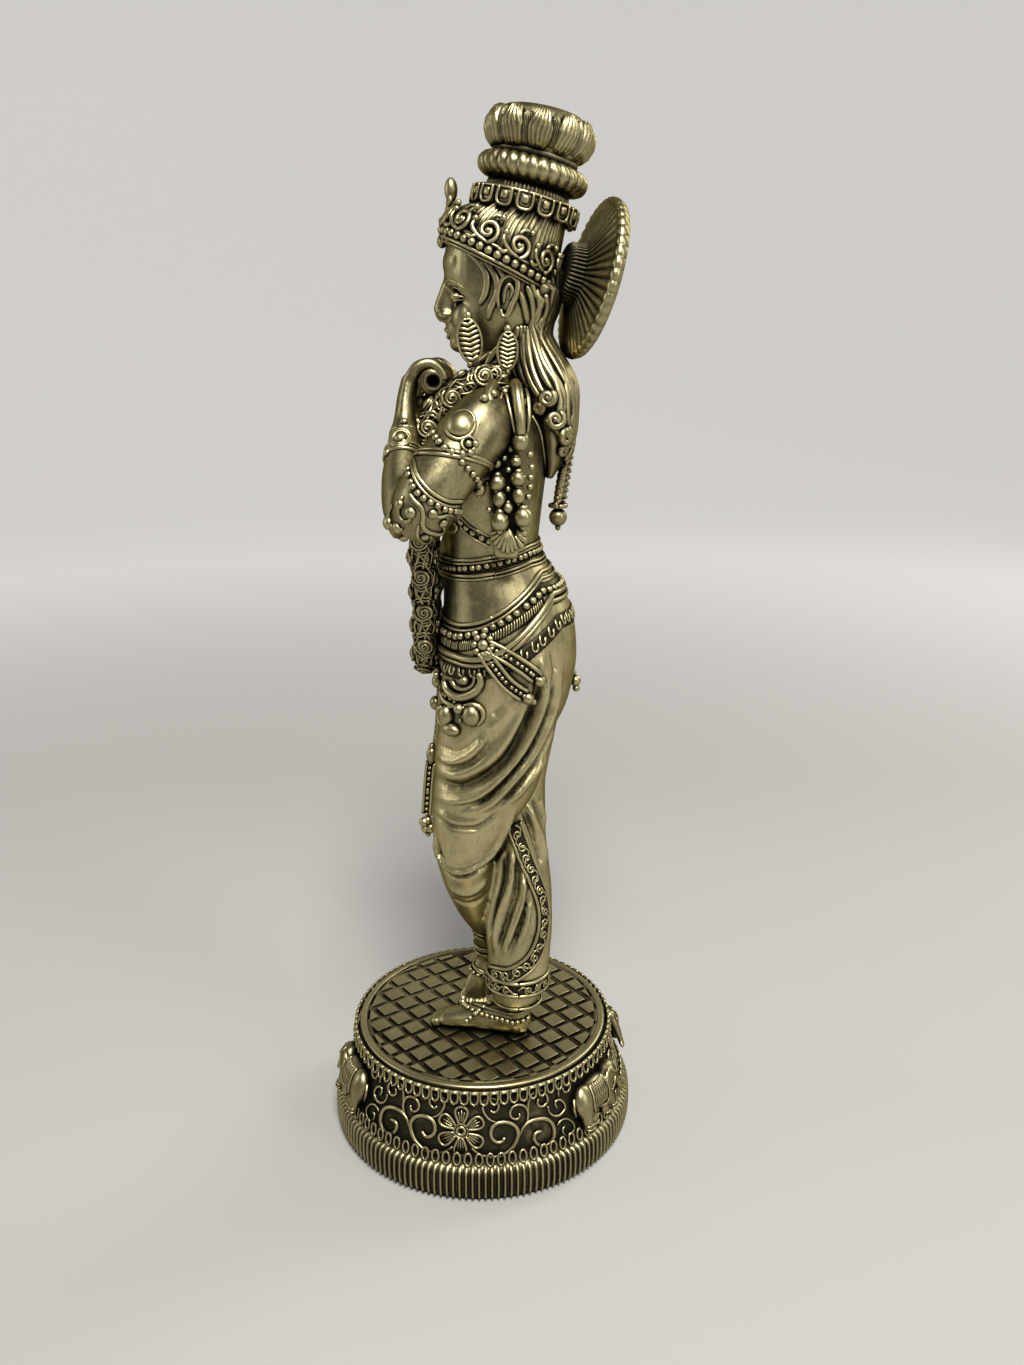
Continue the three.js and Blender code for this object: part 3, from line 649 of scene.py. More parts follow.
def fuse(name, pieces, voxel, rounding=4):
    """Joins rough forms into one skin and rounds the lines where they run into each other."""
    piece = join(name, pieces)
    remesh = piece.modifiers.new("fuse", "REMESH")
    remesh.mode = "VOXEL"
    remesh.voxel_size = voxel * MM
    bpy.ops.object.modifier_apply(modifier=remesh.name)
    soften = piece.modifiers.new("soften", "SMOOTH")
    soften.iterations = rounding
    bpy.ops.object.modifier_apply(modifier=soften.name)
    bpy.ops.object.shade_smooth()
    return piece


# Plinth.
# A round cast base: a ribbed foot, a row of ovals, a scroll band with a flower between
# confronted elephants, a row of loops, and a top of raised square tiles inside a ring.
PLINTH_TOP = 37.6
PLINTH_TURN = math.radians(-6.5)
RIBS = 156
RIB_DEPTH = 1.35
RIB_SPAN = (1.2, 12.6)
PLINTH_PROFILE = [
    (0, 50.6), (0.5, 51.6), (1.2, 52), (3, 52.5), (6, 52.7), (9, 52.6), (11.4, 52.3), (12.6, 51.8),
    (13.1, 50.4), (13.5, 49.9), (16, 49.5), (18.5, 48.9), (22, 47.9), (26, 46.8), (30, 45.8), (32.4, 45.2),
    (33.4, 44.5), (35.8, 44.3), (36.3, 44.6), (37, 44.6), (37.35, 44.35), (37.5, 43.9), (37.5, 42.5),
    (37.2, 42.3), (37.2, 42.2), (37.5, 42), (37.5, 41.2), (37.3, 40.9), (36.8, 40.8),
]


def revolve(name, profile, sides, reach=lambda angle, height, radius: radius):
    angles = np.linspace(0, 2 * np.pi, sides, endpoint=False)
    rings = []
    for height, radius in profile:
        r = reach(angles, height, radius)
        rings.append(np.stack([r * np.cos(angles), r * np.sin(angles), np.full(sides, float(height))], 1))
    return skin(name, rings)


def finer(profile, step):
    """A profile with points added so that none of its lines is longer than step."""
    points = [profile[0]]
    for a, b in zip(profile, profile[1:]):
        count = max(1, math.ceil(math.dist(a, b) / step))
        points += [tuple(np.array(a) + (np.array(b) - np.array(a)) * (i + 1) / count) for i in range(count)]
    return points


def ribbed(angle, height, radius):
    low, high = RIB_SPAN
    share = np.clip(min(height - low, high - height) / 1.2, 0, 1)
    round_end = math.sqrt(1 - (1 - share) ** 2)
    return radius - RIB_DEPTH * (1 - round_end * np.abs(np.cos(angle * RIBS / 2)) ** 2.8)


plinth_body = revolve("plinth_body", finer(PLINTH_PROFILE, 1.7), RIBS * 8, ribbed)
plinth_tree = tree_of(plinth_body)
brass_plinth = antique_brass("brass_plinth", reach=2.6, dark=0.66, blotch=0.35)


def plinth_ground(start, place):
    """Where the wall shows between the scrolls, and the top between its tiles."""
    axes = start.node("SeparateXYZ", Vector=place)
    x, y, z = (start.of(axes, i) * 1000 for i in range(3))
    radius = (x * x + y * y) ** 0.5
    on_wall = z.between(12.7, 13.3) * (1 - z.between(35.6, 36.1))
    return (on_wall + (1 - radius.between(40.6, 40.9)) * z.between(30, 31) * 0.8).clamp()


brass_ground = antique_brass("brass_ground", reach=2.6, dark=0.66, blotch=0.35, ground=plinth_ground)

# square tiles raised on the top, cut off round by the ring
TILE_SIDE = 5.55
TILE_TURN = 37
TILE_STEPS = ((4.09, -6.62), (5.42, 5.19))
TILE_START = (-18.4, -19.3)
TILE_FIELD = 40.7
TILE_RISE = 0.75
TILE_MIDDLE = 36.75


def bevelled_cube(offset):
    """A cube that reaches 1 each way, its edges bevelled."""
    cube = added(bpy.ops.mesh.primitive_cube_add, size=2)
    bpy.ops.object.mode_set(mode="EDIT")
    bpy.ops.mesh.select_all(action="SELECT")
    bpy.ops.mesh.bevel(offset=offset, segments=2)
    bpy.ops.object.mode_set(mode="OBJECT")
    return cube


places = []
turn = Matrix.Rotation(math.radians(TILE_TURN), 4, "Z")
size = Matrix.Diagonal((TILE_SIDE / 2 * MM, TILE_SIDE / 2 * MM, TILE_RISE * MM, 1))
for i in range(-14, 15):
    for k in range(-14, 15):
        x = TILE_START[0] + i * TILE_STEPS[0][0] + k * TILE_STEPS[1][0]
        y = TILE_START[1] + i * TILE_STEPS[0][1] + k * TILE_STEPS[1][1]
        if math.hypot(x, y) < TILE_FIELD + 1.6:
            places.append(Matrix.Translation(Vector((x, y, TILE_MIDDLE)) * MM) @ turn @ size)
tiles = copies("plinth_tiles", bevelled_cube(0.09), places)
cutter = added(bpy.ops.mesh.primitive_cylinder_add, vertices=180, radius=TILE_FIELD * MM, depth=20 * MM,
               location=(0, 0, 36.7 * MM))
alone(tiles)
clip = tiles.modifiers.new("clip", "BOOLEAN")
clip.operation = "INTERSECT"
clip.object = cutter
bpy.ops.object.modifier_apply(modifier=clip.name)
bpy.data.objects.remove(cutter)
bpy.ops.object.shade_smooth_by_angle(angle=math.radians(50))

# rings of loops under the rim and of ovals above the ribs
LOOPS = 88
WALL_LEVELS = 20  # the levels of the profile from the foot up to the rim
LOOP_OUTLINE = [
    (-1.15, 1.7), (-1.25, 0.7), (-1.25, -0.4), (-0.95, -1.5), (0, -2), (0.95, -1.5), (1.25, -0.4),
    (1.25, 0.7), (1.15, 1.7), (0, 1.9),
]
LOOP_LEVEL = 34.4
LOOP_DEGREE = math.degrees(1 / 45)  # a millimetre along the wall there
OVAL_HALF = (1.15, 2.05)
OVAL_LEVEL = 15.3
OVAL_DEGREE = math.degrees(1 / 50)


def wall_radius(z):
    heights, radii = zip(*PLINTH_PROFILE[:WALL_LEVELS])
    return np.interp(z, heights, radii)


def wall(azimuth, z, out=0.0):
    """A point on the plinth's wall, at an azimuth in degrees."""
    reach = float(wall_radius(z)) + out
    turn = math.radians(azimuth)
    return (reach * math.cos(turn), reach * math.sin(turn), z)


def about_axis(points, degrees):
    turn = Matrix.Rotation(math.radians(degrees), 3, "Z")
    return [turn @ Vector(p) for p in points]


loop_lines = []
for i in range(LOOPS):
    azimuth = 360 * (i + 0.5) / LOOPS
    outline = [wall(azimuth + s * LOOP_DEGREE, LOOP_LEVEL + h, 0.45) for s, h in LOOP_OUTLINE]
    loop_lines.append((outline + outline[:2], 0.39))
    loop_lines.append(([wall(azimuth + s * LOOP_DEGREE, 36.3, 0.1) for s in (-1.5, 0, 1.5)], 0.5))
    azimuth = 360 * i / LOOPS
    wide, tall = (OVAL_HALF[0] * OVAL_DEGREE, OVAL_HALF[1])
    turns = np.linspace(0, 2 * math.pi, 11)
    ring = [wall(azimuth + wide * math.sin(a), OVAL_LEVEL + tall * math.cos(a), 0.4) for a in turns]
    loop_lines.append((ring + ring[1:2], 0.37))
loops = strands("plinth_loops", loop_lines, 1)

# the scroll band: half of it is drawn over the photograph's near side, in steps of a tenth
# of its pixels from a corner, then repeated to the flower's other side and round the back
DRAWN_FROM = (400, 1060)
DRAWN_STEP = 9.8
FLOWER = (600, 690)
PETALS_ROUND = 6
PETAL_OUTLINE = [
    (2.3, -0.5), (4, -1.35), (6.2, -2), (7.7, -1.5), (8.2, 0), (7.7, 1.5), (6.2, 2), (4, 1.35), (2.3, 0.5),
]
SCROLLS = [
    (0.66, [(705, 855), (760, 905), (830, 935), (920, 942), (1010, 920), (1080, 870), (1130, 800),
            (1155, 720), (1140, 660), (1090, 615), (1020, 600), (950, 612), (905, 650), (890, 710),
            (905, 765), (950, 800), (1000, 790), (1025, 750)]),
    (0.42, [(950, 605), (890, 585), (850, 550), (820, 500), (810, 450), (830, 400), (880, 378), (930, 385),
            (965, 425), (955, 480), (915, 510), (885, 485)]),
    (0.66, [(1170, 735), (1195, 665), (1250, 605), (1320, 575), (1400, 568), (1465, 595), (1500, 660),
            (1500, 740), (1470, 800), (1410, 835), (1350, 825), (1310, 775), (1315, 720), (1350, 695),
            (1385, 690)]),
    (0.44, [(1180, 700), (1215, 640), (1243, 590), (1250, 540), (1245, 490), (1215, 445), (1160, 430),
            (1105, 450), (1075, 500), (1085, 550), (1130, 575), (1165, 555), (1165, 515)]),
    (0.44, [(1240, 590), (1250, 500), (1250, 430), (1270, 360), (1320, 310), (1385, 295), (1430, 340),
            (1435, 400), (1400, 445), (1355, 445), (1338, 410), (1350, 370)]),
    (0.42, [(1441, 445), (1455, 505), (1495, 540), (1545, 540), (1590, 500), (1610, 450), (1580, 395),
            (1530, 385), (1510, 420), (1530, 470)]),
    (0.42, [(1548, 360), (1540, 270), (1560, 200), (1605, 168), (1650, 215), (1645, 290), (1602, 312),
            (1580, 265)]),
    (0.42, [(1530, 640), (1570, 585), (1630, 570), (1688, 615), (1694, 680), (1645, 742), (1592, 715),
            (1585, 670), (1610, 640)]),
]


def drawn(line):
    return [(DRAWN_FROM[0] + x / DRAWN_STEP, DRAWN_FROM[1] + y / DRAWN_STEP) for x, y in line]


def four_ways(lines):
    """Lines of the band's near right quarter, and their likes round the plinth."""
    made = []
    for points, radius in lines:
        turned = about_axis(points, -math.degrees(PLINTH_TURN))
        flipped = about_axis([(x, -y, z) for x, y, z in turned], math.degrees(PLINTH_TURN))
        for near in (points, flipped):
            made += [(near, radius), (about_axis(near, 180), radius)]
    return made


band_lines = []
for radius, line in SCROLLS:
    points = only_points(traced(plinth_tree, drawn(line), 0.5))
    band_lines.append((points, tapered(len(points), radius * 1.02, 0.45, 0.8, 0.3)))
band_lines = four_ways(band_lines)
heart, outward = laid(plinth_tree, drawn([FLOWER]))[0]
side, rise = side_and_rise(outward)
flower_lines = []
for i in range(PETALS_ROUND):
    turn = 2 * math.pi * i / PETALS_ROUND
    ahead = side * math.sin(turn) + rise * math.cos(turn)
    across = side * math.cos(turn) - rise * math.sin(turn)
    petal = smooth_path([heart + ahead * r * 0.97 + across * w for r, w in PETAL_OUTLINE], 0.7)
    flower_lines.append((only_points(settled(plinth_tree, petal, 0.6)), 0.43))
    for lean, reach in ((-0.16, 6.2), (0, 6.8), (0.16, 6.2)):
        vein = [heart + ahead * r + across * (r * lean) for r in (2.4, 3.6, 5, reach)]
        flower_lines.append((only_points(settled(plinth_tree, vein, 0.35)), 0.27))
for reach, radius in ((1.3, 0.5), (2.25, 0.34)):
    ring = oval_on(heart, side, rise, reach, reach, 19)
    flower_lines.append((only_points(settled(plinth_tree, ring + ring[1:2], 0.5)), radius))
for turn in (180, 90):
    flower_lines += [(about_axis(points, turn), radius) for points, radius in flower_lines]
band = strands("plinth_scrolls", band_lines + flower_lines, 2)

# elephants that face each other in front and at the back
ELEPHANT_AZIMUTH = 61  # degrees from a flower to an elephant's middle
WALL_MEAN = 47
ELEPHANT_FORMS = [  # centre along, out and up, and half sizes; the head is ahead along +X
    ((-1, -1.4, 25.2), (8, 3, 5)), ((-7, -1.6, 24.4), (4.2, 3, 5.6)), ((7.6, -2.2, 27.2), (3.6, 3, 3.7)),
    ((8.8, -2.2, 29.2), (2, 2.2, 1.8)), ((5.2, -4, 26.6), (2.5, 0.9, 3.6)),
]
ELEPHANT_LIMBS = [
    [(9.6, -2.6, 27, 1.9, 1.9), (11, -3, 23.6, 1.5, 1.5), (11.6, -3.2, 20.6, 1.2, 1.2),
     (12.8, -3.2, 18.6, 1, 1), (14, -3, 19.4, 0.8, 0.8)],
    [(4.6, -2.4, 23, 2, 2), (4.8, -3, 16.4, 1.6, 1.6)],
    [(-8, -2.4, 23, 2.2, 2.2), (-8.4, -3, 16.4, 1.6, 1.6)],
    [(1.6, -1.6, 22, 1.8, 1.8), (1.4, -2, 16.4, 1.5, 1.5)],
    [(-4.6, -1.6, 22, 1.8, 1.8), (-4.8, -2, 16.4, 1.5, 1.5)],
]
BLANKET = [(-4.4, 30), (-5.4, 26), (-5.6, 22), (-2, 20.4), (2.6, 21), (3, 25), (2.2, 29.6)]
BRIDLE = [(7.2, 30.4), (7, 28.6), (8.6, 27.6), (10.4, 28)]
EAR_EDGE = [(5, 30), (3.2, 28), (3, 25), (4.6, 23.2), (6.6, 24.4), (7.2, 27)]
ELEPHANT_SUNK = 0.7
parts = [ball("form", centre, sizes) for centre, sizes in ELEPHANT_FORMS]
parts += [tube("limb", rows, 14, front=(0.01, -1, 0), step=0.8, blur=1) for rows in ELEPHANT_LIMBS]
elephant = fuse("elephant", parts, 0.55, 3)
elephant_tree = tree_of(elephant)


def on_elephant(line, lift=0.1):
    found = []
    for x, z in line:
        point, normal, _, _ = elephant_tree.ray_cast(Vector((x, -30, z)), Vector((0, 1, 0)))
        if point is not None:
            found.append(point + normal * lift)
    return found


elephant_lines = [(on_elephant(smooth_path(BLANKET, 0.6), 0.2), 0.42)]
for i in range(8):
    for lean in (1.5, -1.5):
        x = i - 4.6
        line = [(x + lean * t, 21.2 + 8.4 * t) for t in np.linspace(0, 1, 12) if -5.2 < x + lean * t < 2.6]
        elephant_lines.append((on_elephant(line, 0.05), 0.26))
for x, low in ((4.8, 17.2), (-8.4, 17.2), (1.4, 17.2), (-4.8, 17.2), (4.8, 18.4), (-8.4, 18.4)):
    elephant_lines.append((on_elephant([(x + t, low) for t in np.linspace(-1.5, 1.5, 7)]), 0.34))
elephant_lines += [(on_elephant(line), 0.35) for line in (BRIDLE, EAR_EDGE)]
elephant_lines.append(([(-11, -1.2, 27), (-11.8, -1.4, 24), (-11.6, -1.4, 21.6)], 0.5))
eye = ball("eye", (8.9, -5, 27.7), (0.5, 0.4, 0.4), across=8, down=6)
blanket = strands("blanket", [line for line in elephant_lines if len(line[0]) > 2], 1)
elephant = join("elephant", [elephant, blanket, eye])
elephants = []
local = corners(elephant)
for middle in (0, 180):
    for facing in (1, -1):
        copy = own_copy(elephant)
        azimuth = PLINTH_TURN + math.radians(middle) + facing * (
            math.radians(ELEPHANT_AZIMUTH) + local[:, 0] / WALL_MEAN
        )
        reach = wall_radius(local[:, 2]) - local[:, 1] - ELEPHANT_SUNK
        move_corners(copy, np.stack([reach * np.cos(azimuth), reach * np.sin(azimuth), local[:, 2]], 1))
        tidy(copy)
        elephants.append(copy)
bpy.data.objects.remove(elephant)
elephants = join("plinth_elephants", elephants)
dress(plinth_body, brass_ground, "plinth")
for piece in (tiles, loops, band, elephants):
    dress(piece, brass_plinth)

# Figure: the body and its clothes.
# One casting from the crown to the ankle hem: bare trunk and arms, and a long cloth drawn
# tight over the crossed left leg and hanging in pleats behind it over the standing leg.
TRUNK = [  # height, centre X, front Y, back Y, half width
    (140, 1, -9, 24, 18), (150, 1, -10.5, 25.5, 21.5), (158, 1, -12, 29, 24.5), (170, 1, -12.6, 31.4, 26),
    (180, 1, -12.5, 30.5, 25), (188, 1, -12, 26.5, 22.5), (196, 0.5, -11.5, 21.5, 20),
    (204, 0, -11, 18.4, 19), (214, 0, -11.5, 19.4, 21.4), (223, 0, -12.5, 20.5, 24.5),
    (233, 0, -13, 21.5, 27), (242, 0, -11.5, 21.5, 28), (248, 0, -7, 19, 24), (253, 0, -1.5, 17, 13),
]
# Limbs: X, Y, Z of a centre, and the half sizes across and front to back
STANDING_LEG = [
    (-10, 8, 165, 13, 18), (-7, 9, 145, 13, 17), (-2, 9.8, 125, 12, 11.8), (3, 10.8, 106, 11, 11.1),
    (7.5, 12.6, 90, 10.8, 11.3), (10.5, 12.8, 76, 10.4, 11.3), (12, 12.8, 66, 9.6, 10.4),
    (12.7, 12.6, 61.5, 9.8, 10.2), (12.9, 12.4, 57.8, 9.6, 10),
]
CROSSED_LEG = [
    (13, 8, 168, 12, 19), (13, 5.8, 150, 13, 18.5), (13.5, 2.2, 133, 13, 17), (14, -3, 118, 12, 12.8),
    (13, -5.1, 106, 11, 9.6), (10, -4, 95, 9.6, 8.4), (5, -1.5, 83, 8.1, 7), (-1, 1.2, 72, 6, 4.8),
    (-6, 1.2, 63, 4.6, 4.1), (-8.3, 1.5, 56, 3.4, 3.6), (-8.3, 1.5, 50, 3.2, 3.6),
]
CUFF_LEG = [(12.9, 12, 60, 7.6, 8), (13, 11.8, 56, 7.8, 8.2), (13.1, 11.8, 51.2, 7.8, 8.1)]
ANKLE = [
    (13.1, 12.2, 54, 3.8, 4), (13.2, 12.6, 49, 3.7, 3.9), (13.4, 12.6, 45, 3.9, 4.2),
    (13.8, 12.6, 41, 4.2, 4.8),
]
UPPER_ARM = [
    (20, 6.4, 245, 8.5, 8.5), (28, 3, 243.6, 9.4, 9.4), (32.6, -2, 238.4, 9.4, 9.4),
    (35.2, -6, 233, 9.2, 9.2), (37.2, -10.8, 227, 9.3, 9.3), (38, -13.4, 222.4, 9.2, 9.2),
    (37.6, -16, 218, 8.4, 8.4), (36.5, -18.2, 215, 6, 6),
]
FOREARM = [
    (37, -17, 215.4, 6.6, 6.6), (33, -19.6, 221, 6.6, 6.6), (26, -20.9, 228, 5.8, 5.8),
    (20, -20.6, 234, 5.2, 5.2), (15.5, -20.6, 239, 4.8, 4.8), (13.2, -20.7, 242, 4.2, 3.8),
]
NECK = [(0, 7, 247, 10, 9.5), (0, 7.5, 257, 7.8, 8.2), (0, 8.5, 268, 7.8, 9)]
LEFT_HAND_X = 7
RIGHT_HAND_X = -28
RIGHT_ELBOW_SHIFT = 3  # the right arm reaches further along the flute
CHEST_FORMS = [  # rounded forms under the skin: centre and half sizes
    ((11, -6.5, 233), (12, 8, 10)),
    ((-11, -6.5, 233), (12, 8, 10)),
    ((0, -5, 200), (13, 7.4, 14)),
    ((24, 5, 246), (9.5, 9, 6.5)),
    ((-24, 5, 246), (9.5, 9, 6.5)),
]
BODY_VOXEL = 0.73
SEAM_FRONT = 180  # under the belts, where the bare body meets the cloth
SEAM_SLOPE = 0.39


def right_arm(rows, start, end):
    """The left arm's rows mirrored, with a shift of X that grows from start to end."""
    shift = np.linspace(start, end, len(rows))
    return [(-x - s, *rest) for (x, *rest), s in zip(rows, shift)]


trunk_rows = [(x, (front + back) / 2, z, wide, (back - front) / 2) for z, x, front, back, wide in TRUNK]
hand_shift = -RIGHT_HAND_X - LEFT_HAND_X
body_forms = [
    tube("trunk", trunk_rows, 40, power=2.15),
    tube("standing", STANDING_LEG, 32),
    tube("crossed", CROSSED_LEG, 32),
    tube("cuff", CUFF_LEG, 24, blur=1),
    tube("ankle", ANKLE, 24, blur=1),
    tube("neck", NECK, 24),
    tube("left_upper", UPPER_ARM, 24),
    tube("left_fore", FOREARM, 24),
    tube("right_upper", right_arm(UPPER_ARM, 0, RIGHT_ELBOW_SHIFT), 24),
    tube("right_fore", right_arm(FOREARM, RIGHT_ELBOW_SHIFT, hand_shift), 24),
]
body_forms += [ball(f"form_{i}", centre, sizes) for i, (centre, sizes) in enumerate(CHEST_FORMS)]
body = fuse("body", body_forms, BODY_VOXEL)

# The cloth's folds, as strokes over the side that the photograph shows: a path in its
# pixels, laid on the body, then the fold's half width and height. A minus sign is a furrow.
FOLD_DEPTH = 1.35
HIP_FOLDS = [
    ([(538.6, 676), (537, 695), (530.9, 711.7), (513, 750), (492.7, 771.6), (462, 787), (434, 780.6)],
     1.5, -1.9),
    ([(530, 690), (520, 716), (503, 745), (484, 764), (458, 775), (436, 770)], 1.5, 0.8),
    ([(548.8, 668.3), (543.7, 704), (525.8, 744.8), (502.9, 775.4), (477.3, 795.9), (452, 801), (434, 795)],
     1.3, 1.1),
    ([(555, 668), (549, 706), (531, 748), (508, 778), (483, 801), (460, 808)], 0.8, -1.1),
    ([(561.5, 668.3), (553.9, 709), (536, 750), (513, 780.6), (487.6, 806), (466, 814)], 1.2, 1.1),
    ([(565, 690), (559, 716), (543, 753), (520, 785), (496, 810)], 0.8, -1.1),
    ([(560, 722), (549, 752), (530, 780), (510, 803)], 1.1, 0.9),
    ([(543, 660), (539, 680)], 1.2, 0.6),
    ([(552, 650), (556, 672)], 1.0, -0.7),
    ([(436.5, 755), (451.8, 761.4), (469.7, 755), (485, 739.7)], 1.3, 0.9),
    ([(438, 763), (454, 768), (473, 762), (488, 745), (494, 733)], 0.8, -0.9),
    ([(440, 745), (454, 751), (468, 745), (478, 735)], 0.8, -0.6),
    ([(516, 700), (505, 716), (494, 726), (488, 732)], 1.3, 0.5),
    ([(505, 690), (500, 704), (490, 716)], 1.0, -0.5),
]
SHIN_FOLDS = [
    ([(436.5, 816.3), (454.4, 827.7), (472.2, 829), (482.4, 825.2), (500, 812)], 0.8, -0.9),
    ([(434, 810), (454, 821), (474, 822), (490, 815)], 1.2, 0.5),
    ([(434, 829), (439, 854.5), (449.3, 868.6), (467, 870.3), (490, 854.5), (505.4, 829), (515.6, 808.6)],
     0.9, 1.2),
    ([(436, 838), (442, 860), (451, 874), (468, 876), (492, 861), (508, 836)], 0.9, -1.2),
    ([(447, 886), (462, 894), (476, 891), (489, 878)], 1.2, 0.5),
    ([(452, 898), (466, 904), (480, 900), (490, 890)], 1.0, -0.4),
]
INNER_DRAPE = [
    ([(505, 850), (504, 880), (494, 914), (488, 940)], 1.1, -1.5),
    ([(513, 846.9), (510.5, 882.6), (499, 918.3), (493.9, 951.5)], 1.0, 1.1),
    ([(518, 858), (517, 890), (506, 924), (498, 953)], 0.8, -1.2),
    ([(523.3, 872.4), (523.3, 897.9), (513, 928.5), (502.9, 954)], 1.0, 1.1),
    ([(526, 884), (526, 906), (517, 936), (508, 956)], 0.7, -1.0),
    ([(528.4, 897.9), (527, 920.9), (518.2, 943.8)], 0.9, 0.8),
]
BACK_PLEATS = [
    ([(523.3, 796), (538.6, 831.6), (547, 862)], 1.1, 1.1),
    ([(518, 800), (532, 832), (542, 866)], 0.8, -1.1),
    ([(530, 792), (543, 824), (549, 850)], 0.8, -0.9),
    ([(540, 800), (547, 830)], 0.9, 0.7),
]


def press(piece, path, width, height):
    """Raises or sinks the skin along a path, fading out at its ends and to both sides."""
    points = corners(piece)
    near = np.flatnonzero(((points > path.min(0) - 3 * width) & (points < path.max(0) + 3 * width)).all(1))
    if not len(near):
        return
    normals = np.empty(len(points) * 3)
    piece.data.vertex_normals.foreach_get("vector", normals)
    normals = normals.reshape(-1, 3)[near]
    gap = np.linalg.norm(points[near][:, None] - path[None], axis=2)
    closest = gap.argmin(1)
    distance = gap[np.arange(len(near)), closest]
    along = closest / (len(path) - 1)
    fade = np.clip(np.minimum(along, 1 - along) * 6 + 0.15, 0, 1)
    points[near] += normals * (height * fade * np.exp(-(distance / width) ** 2))[:, None]
    move_corners(piece, points)


body_tree = tree_of(body)
for strokes in (HIP_FOLDS, SHIN_FOLDS, BACK_PLEATS, INNER_DRAPE):
    for pixels, width, height in strokes:
        path = np.array([tuple(p) for p, _ in traced(body_tree, pixels, step=0.6)])
        press(body, path, width, height * FOLD_DEPTH)
body_tree = tree_of(body)
middles = np.empty(len(body.data.polygons) * 3)
body.data.polygons.foreach_get("center", middles)
middles = middles.reshape(-1, 3) / MM
clothed = middles[:, 2] < SEAM_FRONT + (middles[:, 1] + 12) * SEAM_SLOPE
alone(body)
bpy.ops.object.mode_set(mode="EDIT")
bpy.ops.mesh.select_mode(type="FACE")
bpy.ops.mesh.select_all(action="DESELECT")
bpy.ops.object.mode_set(mode="OBJECT")
body.data.polygons.foreach_set("select", clothed)
bpy.ops.object.mode_set(mode="EDIT")
bpy.ops.mesh.separate(type="SELECTED")
bpy.ops.object.mode_set(mode="OBJECT")
cloth = next(piece for piece in bpy.context.selected_objects if piece is not body)
cloth.name = "cloth"


def garland_painted_shadow(start, place):
    """The belly's front beside the garland, given a painted shadow where the garland shades it and the belly
    turns away from the light.
    """
    axes = start.node("SeparateXYZ", Vector=place)
    y, z = (start.of(axes, i) * 1000 for i in (1, 2))
    return (1 - y.between(-11, -5)) * z.between(150, 158) * (1 - z.between(197, 205)) * 0.9


# the belly beside the garland gets a painted shadow
brass_body = antique_brass("brass_body", reach=3.8, dark=0.38, blotch=0.7, pits=0.5, ground=garland_painted_shadow)
brass_cloth = antique_brass("brass_cloth", reach=3.4, dark=0.6, blotch=0.8, pits=0.6, rub=0.2)
dress(body, brass_body, "figure")
dress(cloth, brass_cloth)

# the dark grounds under beads and scrolls
brass_black = antique_brass("brass_black", reach=1.5, dark=0.8, blotch=0.5, ground=lambda start, place: 1.0)

# Hands and feet.
# Cast with the body. The left hand closes over the flute's end and the right hand over
# its far part, and the left foot stands on its toes beside the right one.
HAND = [
    (15.5, -20.6, 239, 4.9, 4.9), (13.2, -20.7, 242, 4, 3.6), (11.5, -20.8, 244.6, 4.8, 3),
    (9, -20.4, 249.5, 5.4, 2.8), (7.5, -19.4, 254.4, 5.5, 2.5),
]
FINGER = [
    (-19.9, 251), (-19.4, 254.6), (-17.2, 258.2), (-14.6, 259.4), (-12.2, 259.2), (-9.8, 257), (-8.9, 254.4),
]
FINGER_SIZES = (1.8, 1.85, 1.7, 1.55, 1.45, 1.35, 1.1)
FINGER_STEP = 2.9
FINGERTIPS = (0.4, 0.9, 0.6, 0)  # how much longer each finger is
THUMB_ASIDE = 2.5
THUMB = [
    (4.4, -20.2, 246, 2.3, 2.3), (3.4, -17.6, 247.4, 2, 2), (2.4, -14.8, 248.6, 1.8, 1.8),
    (1, -10.8, 250, 1.4, 1.4),
]
STANDING_FOOT = [
    (14.6, 16.2, 40.6, 2.4, 2.4), (14.2, 14.4, 41.2, 3.8, 3.6), (13.2, 10, 42.8, 4.2, 5.1),
    (11.4, 4, 42.2, 4.4, 4.5), (9.2, -3, 41.2, 4.8, 3.7), (7.8, -9.5, 40.4, 5, 2.9), (7, -13, 39.9, 4.8, 2.3),
]
STANDING_TOES = [  # X and Y of the tip, and the toe's half width
    (9, -16.4, 2), (6.3, -16.7, 1.5), (4.4, -16, 1.35), (2.9, -14.8, 1.25), (1.8, -13.2, 1.15),
]
CROSSED_FOOT = [
    (-8.3, 1.5, 54, 3.3, 3.5), (-7.6, 0.6, 50, 3.3, 4.1), (-6.6, -1.4, 45, 3.1, 4.7),
    (-5.6, -2.6, 41.4, 2.6, 4.9), (-5, -3, 39.4, 2, 4.6),
]
CROSSED_TOES = [  # Y of the tip, and half width
    (-7.2, 1.6), (-4.4, 1.2), (-2.1, 1.1), (-0.2, 1.05), (1.5, 1.0),
]
FINE_VOXEL = 0.46


def hand(name, middle):
    """A hand bent over the flute; middle is the X of its palm's end."""
    shift = middle - LEFT_HAND_X
    pieces = [tube("palm", [(x + shift, *rest) for x, *rest in HAND], 24, step=1)]
    for i, longer in enumerate(FINGERTIPS):
        x = middle + (i - 1.5) * FINGER_STEP
        sizes = enumerate(zip(FINGER, FINGER_SIZES))
        rows = [(x, y + (longer if k > 4 else 0), z, r, r) for k, ((y, z), r) in sizes]
        pieces.append(tube("finger", rows, 14, front=(1, 0, 0), step=0.8, blur=2))
        pieces.append(ball("knuckle", (x, -19.3, 255.2), (1.65, 1.3, 1.6)))
    thumb = [(x + shift + THUMB_ASIDE, *rest) for x, *rest in THUMB]
    pieces.append(tube("thumb", thumb, 14, step=0.8, blur=2))
    if middle == RIGHT_HAND_X:
        for piece in pieces:
            mirror(piece, middle)
    return fuse(name, pieces, FINE_VOXEL, 3)


